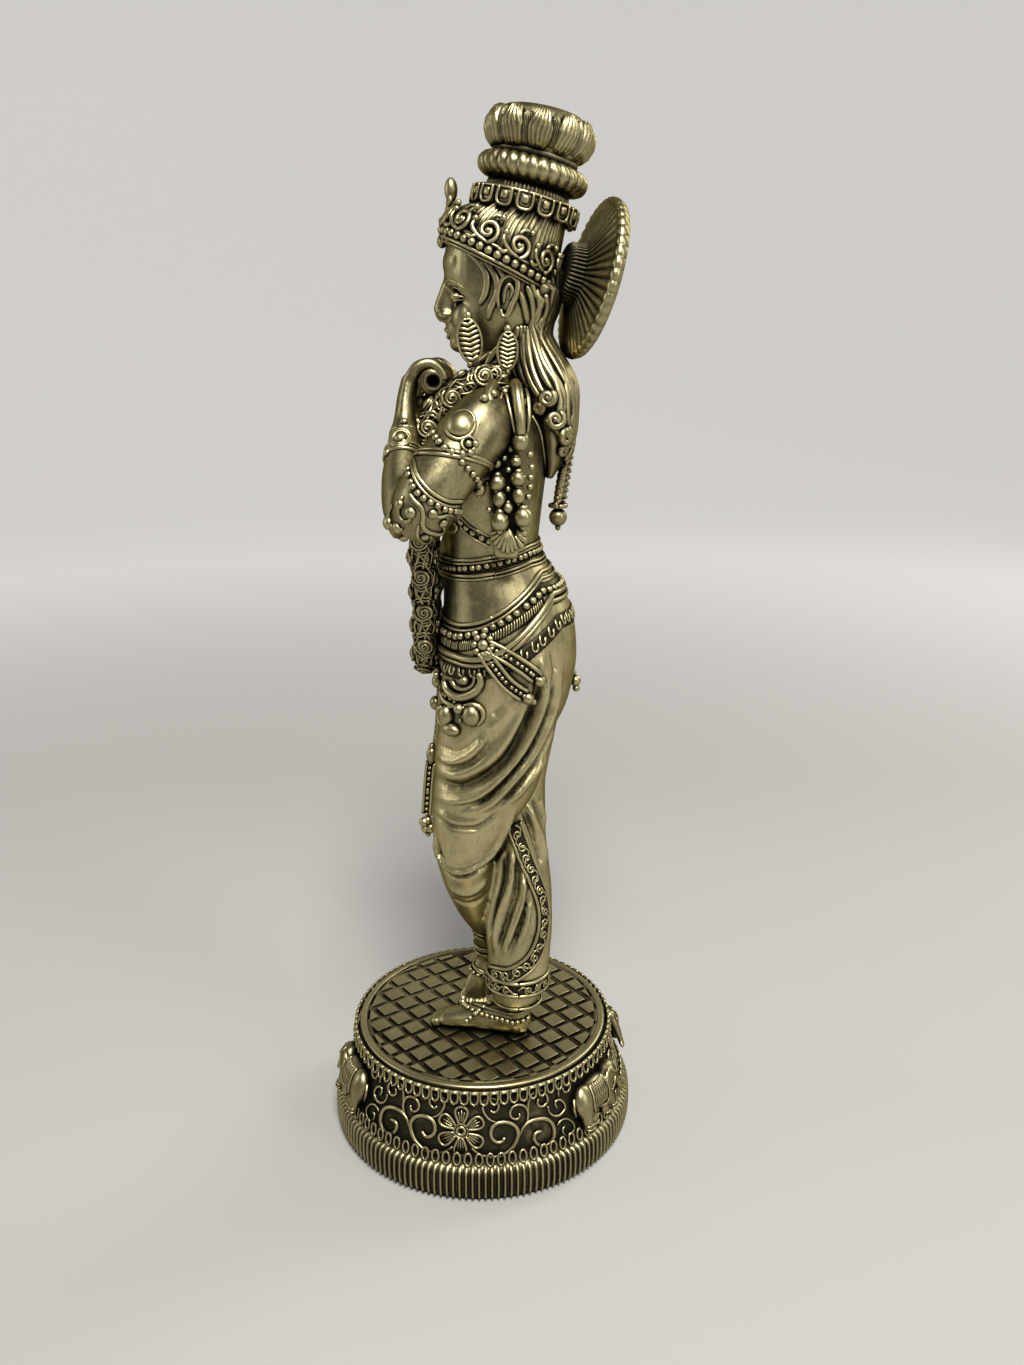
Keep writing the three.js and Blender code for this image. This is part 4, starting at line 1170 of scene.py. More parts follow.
left_hand = hand("left_hand", LEFT_HAND_X)
right_hand = hand("right_hand", RIGHT_HAND_X)

toes = []
for x, y, size in STANDING_TOES:
    rows = [
        (x * 0.6 + 7.4 * 0.4, -10.5, 40, size * 1.1, size), (x, y + 3.2, 39.7, size, size * 0.95),
        (x, y + 0.6, 39.1, size * 0.9, size * 0.8),
    ]
    toes.append(tube("toe", rows, 12, front=(0, 0, 1), step=0.8, blur=2))
    toes.append(ball("toe_tip", (x, y + 0.7, 39), (size, size * 1.1, size * 0.95)))
standing_foot = fuse(
    "standing_foot", [tube("sole", STANDING_FOOT, 24, front=(0, 0, 1), step=1)] + toes, FINE_VOXEL, 3,
)
points = corners(standing_foot)
points[:, 2] = np.maximum(points[:, 2], PLINTH_TOP)
move_corners(standing_foot, points)

toes = []
for y, size in CROSSED_TOES:
    rows = [
        (-5.4, y * 0.7 - 1, 42, size, size), (-4.6, y, 39.8, size, size), (-3.2, y, 38.7, size, size * 0.9),
    ]
    toes.append(tube("toe", rows, 12, step=0.8, blur=2))
    toes.append(ball("toe_tip", (-3.2, y, 38.8), (size * 1.2, size, size)))
crossed_foot = fuse("crossed_foot", [tube("instep", CROSSED_FOOT, 24, step=1)] + toes, FINE_VOXEL, 3)
brass_skin = antique_brass("brass_skin", reach=1.6, dark=0.3, blotch=0.6, pits=0.3, shade=0.5)
for piece in (left_hand, right_hand, standing_foot, crossed_foot):
    dress(piece, brass_skin)

# Head.
# Cast with the body: a full oval face, calm, with long eyes under arched brows, and ears
# whose lobes carry heavy striped pendants. The hair and the crown close over the skull.
SKULL = [  # height, front Y, back Y, half width
    (262.2, -4.5, 1.5, 3.4), (264.4, -7.6, 7, 7), (268, -8.6, 14, 10.4), (273, -8.6, 21, 12.5),
    (278, -8.4, 24, 13.2), (284, -9.6, 25.5, 13.8), (291, -9, 25, 13.8), (296, -6, 23, 12.4),
]
EYE_LEVEL = 277.6
EYE_ASIDE = 5.1
FACE_FORMS = [  # centre and half sizes, on the middle line or on both sides
    ((0, -4.2, 265.2), (4.6, 4.2, 3.2)),
    ((0, -4.4, 269.2), (5.8, 4.8, 4.6)),
    ((4.9, -2.4, 272), (4.6, 4.8, 5)),
    ((0, -4.6, 287), (9, 5.2, 6)),
]
NOSE = [
    (0, -6.6, 283.4, 2.4, 2.8), (0, -6.6, 280.4, 2.3, 3.9), (0, -7, 277.4, 2.4, 4.5),
    (0, -7.6, 275, 2.6, 4.9), (0, -8, 273.2, 2.8, 4.9), (0, -8.2, 272.2, 2.3, 3.8),
    (0, -7.6, 271.4, 1.6, 2.2),
]
UPPER_LIP = [
    (-3.6, 268.2), (-1.8, 268.5), (-0.5, 268.75), (0, 268.6), (0.5, 268.75), (1.8, 268.5), (3.6, 268.2),
]
LOWER_LIP = [(-2.9, 267.5), (-1.4, 266.8), (0, 266.6), (1.4, 266.8), (2.9, 267.5)]
BROW = [(1.7, 280.6), (3.6, 281.9), (5.8, 282.2), (8, 281.3), (9.6, 279.6)]
UPPER_LID = [(2.5, 277.1), (3.7, 278.5), (5.3, 279), (6.9, 278.5), (8.3, 277.3)]
LOWER_LID = [(2.5, 277), (3.8, 276.4), (5.3, 276.2), (6.9, 276.5), (8.3, 277.2)]
FOLD = [(2.4, 278.4), (3.8, 279.8), (5.5, 280.3), (7.2, 279.7), (8.8, 278.2)]


def on_face(tree, outline, side=1, lift=0.0):
    """Points of a line on the face through (X, Z) points, seen from straight in front."""
    found = []
    for x, z in smooth_path([(side * x, z) for x, z in outline], 0.4):
        point, normal, _, _ = tree.ray_cast(Vector((x, -40, z)), Vector((0, 1, 0)))
        found.append(point + normal * lift)
    return found


rows = [(0, (front + back) / 2, z, wide, (back - front) / 2) for z, front, back, wide in SKULL]
head_forms = [
    tube("skull", rows, 40, step=1), tube("neck", NECK, 24, step=1),
    tube("nose", NOSE, 16, step=0.6, blur=2),
]
for (x, y, z), sizes in FACE_FORMS:
    head_forms += [ball("form", (side * x, y, z), sizes) for side in ((1, -1) if x else (1,))]
for side in (1, -1):
    head_forms.append(ball("nostril", (side * 2.3, -9, 272.8), (1.3, 2.2, 1.25)))
head = fuse("head", head_forms, 0.5, 3)
face = tree_of(head)
for side in (1, -1):
    press(head, np.array(on_face(face, [(3.8, 277.6), (5.3, 277.8), (7.2, 277.6)], side)), 2.8, -0.7)
press(head, np.array(on_face(face, [(0, 271), (0, 269.6)])), 0.8, -0.4)
press(head, np.array(on_face(face, [(-2, 265.2), (0, 265.1), (2, 265.2)])), 1.0, -0.4)
face = tree_of(head)
eyes = []
brows = []
for side in (1, -1):
    line = on_face(face, BROW, side, -0.1)
    brows.append((line, tapered(len(line), 0.42)))
    eyes.append(ball("eye", (side * EYE_ASIDE, -5.3, EYE_LEVEL), (2.9, 2.1, 1.6), (0, 0, -side * 16)))
eye_tree = tree_of(head, *eyes)
lids = []
for side in (1, -1):
    for outline, radius in ((UPPER_LID, 0.42), (LOWER_LID, 0.3), (FOLD, 0.2)):
        line = on_face(eye_tree, outline, side, 0.05)
        lids.append((line, tapered(len(line), radius)))
lips = []
for outline, radius in ((UPPER_LIP, 0.72), (LOWER_LIP, 0.85)):
    line = on_face(face, outline, 1, -0.15)
    lips.append((line, tapered(len(line), radius, 0.3, 0.3, 0.35)))
head = join("head", [head, *eyes, strands("brows", brows), strands("lids", lids), strands("lips", lips, 3)])
dress(head, brass_skin)

# Ears and their pendants.
# Each ear is a looped rim round a hollow, cast on the head. Its lobe carries a leaf-shaped
# pendant striped across, and a second pendant of the same kind hangs before it.
EAR_RIM = [
    (-2.2, -2.6), (-2.6, 1), (-1.6, 4.6), (0.8, 6), (3, 4.4), (2.8, 1), (1.4, -2), (0.2, -4.6), (-1.2, -4.8),
    (-1.6, -3),
]
EAR_FOLD = [(-0.8, -1.6), (-0.6, 1.6), (0.6, 3.6), (1.6, 2), (0.8, -0.6)]
EAR_PLACE = (14, 9, 277)  # the middle of the ear; the outlines above are Y and Z from it
PENDANTS = [  # centre, half width, half height, and its lean in degrees
    ((13.2, -1.6, 265.4), 3.4, 6, 8),
    ((14.4, 9.2, 262.6), 2.8, 5.2, -3),
]
PENDANT_STRIPES = 8


def pendant(centre, wide, tall, lean):
    """A hollow leaf of striped cords, hung with its flat side outwards."""
    x, y, z = centre
    tilt = Matrix.Translation(centre) @ Matrix.Rotation(math.radians(lean), 4, "X")
    lines = []
    for share in np.linspace(-0.8, 0.8, PENDANT_STRIPES):
        reach = wide * math.sqrt(1 - share ** 2 * 0.9)
        arc = [
            (0.75 * math.cos(t * 1.2), reach * t, tall * share + 1.1 * (abs(t) - 0.4))
            for t in np.linspace(-1, 1, 9)
        ]
        lines.append(([tilt @ Vector(p) for p in arc], tapered(9, tall * 0.095)))
    ring = [(0.4, wide * math.sin(a), tall * math.cos(a)) for a in np.linspace(0, 2 * math.pi, 33)]
    lines.append(([tilt @ Vector(p) for p in ring], 0.38))
    hook_y = y - tall * math.sin(math.radians(lean)) * 0.5
    return [
        ball("leaf", (x - 0.4, y, z), (1.1, wide * 0.9, tall * 0.94), (lean, 0, 0)),
        strands("stripes", lines),
        ball("hook", (x, hook_y, z + tall + 0.8), (0.9, 1.1, 1.2)),
        ball("drop", (x, y, z - tall - 0.5), (0.9, 0.9, 1.1)),
    ]


ear_parts = []
for side in (1, -1):
    x, y, z = EAR_PLACE
    lines = []
    for outline, radius in ((EAR_RIM, 0.85), (EAR_FOLD, 0.6)):
        path = smooth_path([(side * x, y + dy, z + dz) for dy, dz in outline], 0.5)
        lines.append((path, tapered(len(path), radius)))
    ear_parts.append(strands("ear_rim", lines))
    ear_parts.append(ball("ear_bowl", (side * (x - 1.3), y + 0.4, z), (1.3, 2.4, 5)))
    for centre, wide, tall, lean in PENDANTS:
        made = pendant(centre, wide, tall, lean)
        if side < 0:
            for piece in made:
                mirror(piece)
        ear_parts += made
ears = join("ears", ear_parts)
brass_relief = antique_brass("brass_relief", reach=2.2, dark=0.75, blotch=0.35)
dress(ears, brass_relief)

# Hair.
# Cast with the head: fine combed hair under the crown, pinched at the nape and spread over
# the shoulder blades in wavy strands with curled ends, and a braid with a bell at its tip.
HAIR_CORE = [
    (0, 21.6, 226, 9, 1.6), (0, 22.4, 231, 13.5, 4), (0, 22.6, 238, 17.5, 6.6), (0, 21.4, 251, 16, 8.4),
    (0, 17, 261, 11.2, 6.6), (0, 15, 266, 9.4, 6), (0, 15.6, 271, 9.4, 6), (0, 19.6, 281, 11.6, 5),
]
BACK_STRANDS = 13
BACK_SPREAD = (  # half width at heights
    [233, 241, 251, 261, 268, 276, 285], [13.5, 16.5, 15.6, 11, 9.4, 10.2, 13],
)
HAIR_FRONT = 14.5  # the back strands stay behind it
HOOKS = [((548, 398.6), 2.3), ((554.3, 420), 2.7), ((562, 435), 2.6), ((568, 450.6), 1.8), ((541, 408), 1.6)]
SIDE_STRANDS = [  # pixels of the strands that run down to the hooks
    [(535, 318), (548, 346), (561, 366), (573, 388), (578, 410), (577, 432), (571, 446)],
    [(533, 322), (543, 345), (555, 366), (566, 388), (571, 408), (569, 426)],
    [(531, 324), (539, 347), (549, 368), (559, 388), (563, 404), (561, 414)],
    [(529, 325), (534, 348), (541, 370), (549, 386), (553, 392)],
    [(527, 325), (529, 350), (534, 372), (541, 388), (545, 394)],
    [(524, 325), (524, 348), (527, 368), (533, 384), (541, 398)],
    [(521, 325), (519, 345), (520, 362), (524, 376), (530, 388)],
    [(518, 326), (513, 343), (511, 358), (513, 370), (518, 380)],
    [(512, 332), (504, 348), (499, 362), (500, 374), (507, 384)],
    [(506, 338), (495, 352), (488, 366), (487, 380), (492, 392)],
    [(494, 352), (480, 362), (470, 372), (467, 384), (472, 394)],
]
TEMPLE_LOCKS = [
    [(468, 252), (480, 262), (487, 276), (486, 292), (480, 305)],
    [(476, 252), (488, 264), (496, 278), (497, 294), (491, 308), (488, 320)],
    [(488, 256), (499, 268), (505, 280)],
    [(526, 285), (531, 300), (532, 316), (530, 325)],
    [(536, 289), (539, 303), (537, 316), (532, 325)],
    [(545, 294), (546, 306), (542, 318), (534, 326)],
    [(552, 298), (553, 308), (548, 319), (536, 328)],
    [(518, 290), (523, 303), (526, 316), (526, 324)],
]
BRAID = [(0, 28, 238), (0, 27.6, 232), (0, 26.6, 224), (0, 25.4, 217)]
BRAID_BELL = (0, 24.8, 213.2)

hair_core = tube("hair_core", HAIR_CORE, 32, step=1.4)
hair_tree = tree_of(hair_core, head, body)
hair_lines = []
hair_hearts = []


def hook(place, radius, sense, thick):
    """A lock's end: a thick hook wound round a ball."""
    centre, normal = place
    points = curl((centre + normal * 0.5, normal), radius, 1.35, 60, sense, hollow=0.3, count=20)
    hair_lines.append((points, tapered(len(points), thick, 0.8, 1)))
    hair_hearts.append((centre + normal * 0.5, normal, radius * 0.42))


for i in range(BACK_STRANDS):
    share = i / (BACK_STRANDS - 1) * 2 - 1
    low = 231 + 5 * abs(share) + (3 if i % 2 else 0)
    found = []
    for height in np.linspace(285, low, 36):
        spread = np.interp(height, *BACK_SPREAD)
        wave = 0.8 * math.sin(height * 0.32 + i * 2.1) * np.interp(height, [233, 262], [1, 0.2])
        place, normal, _, _ = hair_tree.ray_cast(
            Vector((share * spread + wave, 60, height)), Vector((0, -1, 0)),
        )
        if place is not None and place.y > HAIR_FRONT:
            found.append((place + normal * 0.15, normal))
    if len(found) > 5:
        hair_lines.append((only_points(found), tapered(len(found), 1.3, 0.5, 0.5)))
        if abs(share) > 0.2:
            hook((found[-1][0] - Vector((0, 0, 0.8)), found[-1][1]), 1.9, 1 if share < 0 else -1, 0.8)
for pixels in SIDE_STRANDS + TEMPLE_LOCKS:
    near = only_points(traced(hair_tree, pixels, 0.3))
    for points in (near, over(near)):
        hair_lines.append((points, tapered(len(points), 1.15, 0.6, 0.5)))
for pixel, radius in HOOKS:
    centre, normal = laid(hair_tree, [pixel], 0.6)[0]
    for side in (1, -1):
        flip = Vector((side, 1, 1))
        hook((centre * flip, normal * flip), radius, -side, 1.05)
hair_strands = strands("hair_strands", hair_lines)
hair_curls = beads("hair_curls", hair_hearts, 3, 0.9)
braid_lines = []
braid_beads = []
braid_path = smooth_path(BRAID, 0.5)
for side in (-1, 0, 1):  # a strand with beads between two plain ones
    for phase in (0, math.pi):
        line = []
        for i, (x, y, z) in enumerate(braid_path):
            turn = i * 0.9 + phase
            line.append(
                (x + side * 1.7 + 0.55 * math.sin(turn), y + 0.5 * math.cos(turn) - abs(side) * 1.1, z)
            )
        braid_lines.append((line, tapered(len(line), 0.95 if side else 0.8, 0.8, 0.6)))
for x, y, z in braid_path[1:-1:4]:
    braid_beads += [((x + side * 2.5, y - 1.4, z), (side, 0.3, 0), 0.75) for side in (-1, 1)]
    braid_beads.append(((x, y + 1.1, z), (0, 1, 0), 0.8))
bell_place = Vector(BRAID_BELL)
bell_ring = oval_on(bell_place + Vector((0, 0, 3.6)), Vector((1, 0, 0)), Vector((0, 1, 0)), 2.6, 2.4, 21)
hair = join("hair", [
    hair_core, hair_strands, hair_curls, strands("braid", braid_lines + [(bell_ring, 0.75)]),
    beads("braid_beads", braid_beads), ball("bell", bell_place, (2.7, 2.8, 2.8)),
    ball("bell_tip", bell_place - Vector((0, 0, 3.2)), (0.9, 0.9, 1)),
])
brass_hair = antique_brass("brass_hair", reach=2.6, dark=0.85, blotch=0.5, rub=-0.15)
dress(hair, brass_hair)

# Crown and topknot.
# A tilted ring of beads and a band of openwork scrolls round combed hair, then a collar of
# studs, a ribbed roll and a bun of lotus petals. All of it is cast with the head.
CROWN_RING = ((0, 6.5, 288.1), 17.5, 18.1, 26)  # centre, half width, half depth, fall to the back
CROWN_BEAD = 1.3
DOME = [  # centre Y, centre Z, tilt, half width, half depth
    (5.8, 285, 26, 15, 17), (6.3, 287.2, 26, 16, 18.2), (7.4, 290.4, 25, 15.6, 17.8),
    (9, 294.6, 24, 14.8, 16.8), (10.6, 297.4, 20, 13.8, 15.4), (12.6, 299.8, 16, 13, 13.8),
    (13.6, 301, 14, 12.6, 13), (14.4, 303.4, 14, 12.6, 12.8), (15.2, 307, 14, 12, 12),
]
DOME_LINES = 64
STUDS = 16
ROLL = ((0, 16.4, 310.9), 12.9, 3.2, 14)  # centre, radius of its middle line, of its section, tilt
ROLL_RIBS = 30
BUN = [
    (17.4, 315.4, 12, 12.0), (17.8, 317.2, 11, 12.9), (18.4, 320, 11, 14.2), (18.9, 322.8, 11, 15),
    (19.3, 325.2, 11, 14.3), (19.5, 326.6, 11, 12),
]
PETALS = 11
CROWN_BEADS = 42
SCROLL_COUNT = 12
SCROLL_RING = ((0, 8.2, 292.4), 16.4, 18, 25)  # as the crown's ring
COLLAR = [  # centre Y, centre Z, half width, half depth
    (13.8, 301.7, 13.4, 14), (13.9, 302, 14, 14.5), (14.4, 303.6, 14.6, 15), (14.6, 304.2, 13.8, 14),
]
COLLAR_CENTRE = (0, 14.2, 302.6)
COLLAR_TILT = 14
TOPKNOT_NECK = [  # centre Y, centre Z, radius
    (15.6, 307.6, 11.2), (16.4, 311, 11.6), (17, 314, 11.7), (17.2, 315, 12.3), (17.3, 315.4, 12.3),
    (17.35, 315.8, 11.9), (17.5, 316.4, 12.6), (17.6, 316.8, 12.6), (17.7, 317.2, 12), (18, 319, 11.8),
]
BUN_TILT = 11
BUN_FOOT = (0, 17.35, 315.9)
BUN_TOP = (0, 19.5, 326.4)
PETAL_LEAN = ([0, 1.6, 4.4, 7.2, 9.6, 10.6], [12.4, 14.2, 15.4, 15.4, 14.1, 12.2])  # radius at heights
PETAL_THICK = 1.5


def tilted(centre, tilt, x, y, z=0.0):
    """A point of a level disc after it is tipped back about X and moved to its centre."""
    turn = math.radians(tilt)
    cos, sin = math.cos(turn), math.sin(turn)
    return (centre[0] + x, centre[1] + y * cos + z * sin, centre[2] - y * sin + z * cos)


def oval(centre, wide, deep, tilt, count, z=0.0):
    angles = [2 * math.pi * i / count for i in range(count)]
    return [tilted(centre, tilt, wide * math.cos(a), deep * math.sin(a), z) for a in angles]


def axis_of(tilt):
    return Vector(tilted((0, 0, 0), tilt, 0, 0, 1))


def out_of(centre, point, tilt, rise=0.0):
    """Outward direction of a tilted ring at a point."""
    axis = axis_of(tilt)
    away = Vector(point) - Vector(centre)
    away -= axis * away.dot(axis)
    return (away.normalized() + axis * rise).normalized()


rings = []
angles = np.linspace(0, 2 * np.pi, DOME_LINES * 4, endpoint=False)
comb = 1 - 0.042 * np.abs(np.sin(angles * DOME_LINES / 2))
for _, y, z, tilt, wide, deep in dense([(0, *row) for row in DOME], 0.9):
    ring = [
        tilted((0, y, z), tilt, wide * c * math.cos(a), deep * c * math.sin(a)) for a, c in zip(angles, comb)
    ]
    rings.append(ring)
dome = skin("dome", rings)
centre, wide, deep, tilt = CROWN_RING
crown_beads = [(p, out_of(centre, p, tilt), CROWN_BEAD) for p in oval(centre, wide, deep, tilt, CROWN_BEADS)]
crown_lines = []
for z, share, radius in ((-1.75, 0.99, 0.5), (1.8, 0.985, 0.5), (-2.6, 0.95, 0.4)):
    ring = oval(centre, wide * share, deep * share, tilt, 97, z)
    crown_lines.append((ring + ring[:2], radius))

# openwork scrolls that stand on the ring and lean against the hair: from a scroll's middle,
# how far to the side and up each cord's points are, and its radius
SCROLL_CORDS = [
    ([(0, -3.4), (-3, -1.2), (-4.6, 1.6), (-3.6, 3.4)], 0.62),
    ([(-3, -1), (-5, -1.6), (-6.4, -0.4)], 0.6),
    ([(0, 3), (2, 4.2), (4, 3.6)], 0.55),
]
SCROLL_BUDS = ((0, 0), (-3.6, 3.6), (4.2, 3.4))
centre, wide, deep, tilt = SCROLL_RING
for i in range(SCROLL_COUNT):
    angle = 2 * math.pi * (i + 0.5) / SCROLL_COUNT - math.pi / 2
    foot = tilted(centre, tilt, wide * math.cos(angle), deep * math.sin(angle))
    away = out_of(centre, foot, tilt, 0.25)
    middle = Vector(foot) + away * 0.3
    loop = curl((middle, away), 3.4, 1.35, -100, 1, hollow=0.2)
    crown_lines.append((loop, tapered(len(loop), 0.72, 0.8, 0.9)))
    side, rise = side_and_rise(away)
    for outline, radius in SCROLL_CORDS:
        cord = smooth_path([middle + side * x + rise * y for x, y in outline], 0.6)
        crown_lines.append((cord, tapered(len(cord), radius)))
    crown_beads += [(middle + side * x + rise * y, away, 0.95) for x, y in SCROLL_BUDS]

# the crest over the brow
crest_parts = [
    ball("crest_stem", (0, -8.2, 296.6), (2.4, 1.7, 3.4)),
    ball("crest_middle", (0, -6.6, 301.4), (2.6, 2.2, 2.8)),
    ball("crest_top", (0, -7, 306.8), (2, 1.9, 3.4)), ball("crest_low", (0, -9.8, 293), (3.2, 1.5, 1.8)),
]
CREST_CURLS = [((2.6, -7.6, 299.4), 2, 200), ((3.4, -9, 294.6), 2.2, 180), ((2.1, -7.4, 303.6), 1.7, 210)]
for side in (1, -1):
    for (x, y, z), radius, start in CREST_CURLS:
        turned = start if side > 0 else 180 - start
        loop = curl(((side * x, y, z), (side * 0.35, -1, 0.1)), radius, 1.3, turned, -side)
        crown_lines.append((loop, tapered(len(loop), 0.65, 0.7, 0.9)))
    brow = [(side * 4.6, -9.4, 292.6), (side * 7.6, -8.6, 294), (side * 9.6, -7.4, 292.4)]
    crown_lines.append((smooth_path(brow, 0.6), 0.6))
crown_cords = strands("crown_cords", crown_lines)
crown = join("crown", [dome, crown_cords, beads("crown_beads", crown_beads)] + crest_parts)
dress(crown, brass_relief)

# the collar: a square stud on a plate in each tab, and a cord round it
TAB_OUTLINE = [(-2, 1.9), (-2.1, -1.2), (-1.2, -2.5), (1.2, -2.5), (2.1, -1.2), (2, 1.9)]
topknot_parts = [
    skin("collar_band", [oval((0, y, z), wide, deep, COLLAR_TILT, 128) for y, z, wide, deep in COLLAR])
]
stud = bevelled_cube(0.55)
bpy.ops.object.shade_smooth()
axis = axis_of(COLLAR_TILT)
stud_matrices = []
ring = oval(COLLAR_CENTRE, 14.6, 15.1, COLLAR_TILT, 97, 1.9)
tab_cords = [(ring + ring[:2], 0.45)]
for place in oval(COLLAR_CENTRE, 14.4, 14.9, COLLAR_TILT, STUDS):
    normal = out_of(COLLAR_CENTRE, place, COLLAR_TILT)
    stud_matrices.append(stand(place, normal, (1.1, 1.15, 1.2), axis))
    stud_matrices.append(stand(Vector(place) - normal * 0.5 - axis * 0.5, normal, (2.1, 2.2, 0.9), axis))
    side, rise = side_and_rise(normal, axis)
    tab = [Vector(place) + normal * 0.6 + side * u + rise * v for u, v in TAB_OUTLINE]
    tab_cords.append((smooth_path(tab, 0.5), 0.42))
topknot_parts += [copies("studs", stud, stud_matrices), strands("tab_cords", tab_cords)]

# the ribbed roll, and the neck from it up to the bun
centre, wide, thick, tilt = ROLL
rings = []
angles = np.linspace(0, 2 * np.pi, ROLL_RIBS * 8, endpoint=False)
for turn in np.linspace(-math.pi, math.pi, 21)[:-1]:
    ring = []
    for angle in angles:
        swell = thick * (0.76 + 0.28 * abs(math.cos(angle * ROLL_RIBS / 2 + turn * 0.4)) ** 0.5)
        reach = wide + swell * math.cos(turn)
        x, y, lift = reach * math.cos(angle), reach * math.sin(angle), swell * 0.95 * math.sin(turn)
        ring.append(tilted(centre, tilt, x, y, lift))
    rings.append(ring)
topknot_parts.append(skin("roll", rings + rings[:1]))
topknot_parts.append(skin("topknot_neck", [oval((0, y, z), r, r, 13, 96) for y, z, r in TOPKNOT_NECK]))

# the lotus bun: a core with a hollow top, petals in two rows round it, and seeds
rows = dense([(0, y, z, tilt, r) for y, z, tilt, r in BUN], 1)
rings = [oval((0, y, z), r * 0.93, r * 0.93, tilt, 132) for _, y, z, tilt, r in rows]
rings += [oval(BUN_TOP, r, r, BUN_TILT, 132, z) for r, z in ((10.6, 0.4), (9.4, 0), (8.6, -1.2), (5, -1.7))]
topknot_parts.append(skin("bun_core", rings))


def on_bun(angle, reach, height):
    return tilted(BUN_FOOT, BUN_TILT, reach * math.cos(angle), reach * math.sin(angle), height)


def lotus_petal(number, inner):
    """A cupped petal with three soft ribs; the inner ones are narrower and lower."""
    middle = 2 * math.pi * (number + 0.5 * inner) / PETALS
    half = math.pi / PETALS * (0.42 if inner else 0.9)
    rings = []
    for level in np.linspace(0, 1, 13):
        height = level * (9.4 if inner else 10.4)
        radius = np.interp(height, *PETAL_LEAN) - 0.95 * inner
        width = half * (0.93 + 0.12 * level)
        if level > 0.55:
            width = half * math.sin(math.pi * min(0.35 + level * 0.65, 1)) ** 0.4
        if level >= 0.97:
            width = width * 0.5
        row = []
        for t in np.linspace(-1, 1, 29):
            wave = 0.13 * math.sin(level * 5 + number)
            rib = 0.45 * abs(math.cos((t + wave) * math.pi * 3)) if abs(t) < 0.9 else 0
            bulge = PETAL_THICK * math.sqrt(max(0, 1 - t * t)) + rib - 1.1
            row.append(on_bun(middle + width * t, radius + bulge, height))
        row += [on_bun(middle + width * t, radius - PETAL_THICK, height) for t in np.linspace(0.9, -0.9, 5)]
        rings.append(row)
    return skin("petal", rings)


topknot_parts += [lotus_petal(i, inner) for i in range(PETALS) for inner in (0, 1)]
seeds = []
for reach, count in ((0, 1), (2.6, 6), (5.2, 12)):
    for angle in np.linspace(0, 2 * math.pi, count, endpoint=False):
        place = tilted(BUN_TOP, BUN_TILT, reach * math.cos(angle), reach * math.sin(angle), -1.5)
        seeds.append((place, axis_of(BUN_TILT), 0.9))
topknot = join("topknot", topknot_parts + [beads("bun_seeds", seeds)])
dress(topknot, brass_relief)

# Garland.
# A thick rope of little roses, cast free of the chest, that falls from the nape over both
# shoulders to the belt.
GARLAND = [
    (12, 9, 256), (12.5, 0, 254), (13, -8.5, 248), (14, -14, 240), (14, -16.6, 229), (12.5, -16.8, 214),
    (11, -16.5, 198), (9.6, -16.5, 184), (6.4, -16.8, 172), (0, -17, 167.4),
]
ROSE_STEP = 5.6  # from a pair of roses to the next, a quarter turn round the rope
ROSE_SIZE = 2.9
PETAL_STRANDS = 16
CORE_RADIUS = 3.3
ROPE_BEND = 1.35  # radius of the rope, as a share of a rose's size
PATH_STEP = 0.5
half = smooth_path(GARLAND, PATH_STEP)
garland_path = np.vstack([half, (half * (-1, 1, 1))[::-1][1:]])
garland_core = strands("garland_core", [(garland_path[::4], CORE_RADIUS)], 5)


def on_rope(x, y):
    """A point just under the rope's skin, in shares of a rose's size."""
    return (x, y, math.sqrt(max(ROPE_BEND ** 2 - x * x, 0)) - ROPE_BEND - 0.02)


# one rose: a wound petal that rises to its middle, with wavy petals above and below it
wound = []
for t in np.linspace(0, 1, 28):
    turn = t * 2.3 * 2 * math.pi
    reach = (1 - t * 0.88) * (1 + 0.05 * math.sin(turn * 2.5))
    wound.append((reach * math.cos(turn), reach * math.sin(turn), 0.08 + 0.42 * t))
rose_lines = [(wound, np.linspace(0.19, 0.13, len(wound)))]
for way in (1, -1):
    for away, wide in ((1.28, 0.75), (1.62, 0.95)):
        shares = np.linspace(-1, 1, 11)
        arc = [on_rope(wide * t, way * (away - 0.42 * t * t + 0.07 * math.sin(t * 9))) for t in shares]
        rose_lines.append((arc, tapered(len(arc), 0.15, 0.5, 0.5)))
rose_heart = ball("rose_heart", (0, 0, 0), (0.9, 0.9, 0.42), across=12, down=6)
rose = join("rose", [strands("rose_cords", rose_lines, 1), rose_heart])
rose.data.transform(Matrix.Diagonal((1 / MM, 1 / MM, 1 / MM, 1)))
garland_ahead = np.gradient(garland_path, axis=0)
garland_ahead /= np.linalg.norm(garland_ahead, axis=1)[:, None]


def round_rope(i, turn):
    """A point on the rope's middle line, its direction, and a direction out of it."""
    ahead = Vector(garland_ahead[i])
    front = Vector((0, -1, 0.2)) - ahead * Vector((0, -1, 0.2)).dot(ahead)
    front.normalize()
    return Vector(garland_path[i]), ahead, front * math.cos(turn) + ahead.cross(front) * math.sin(turn)


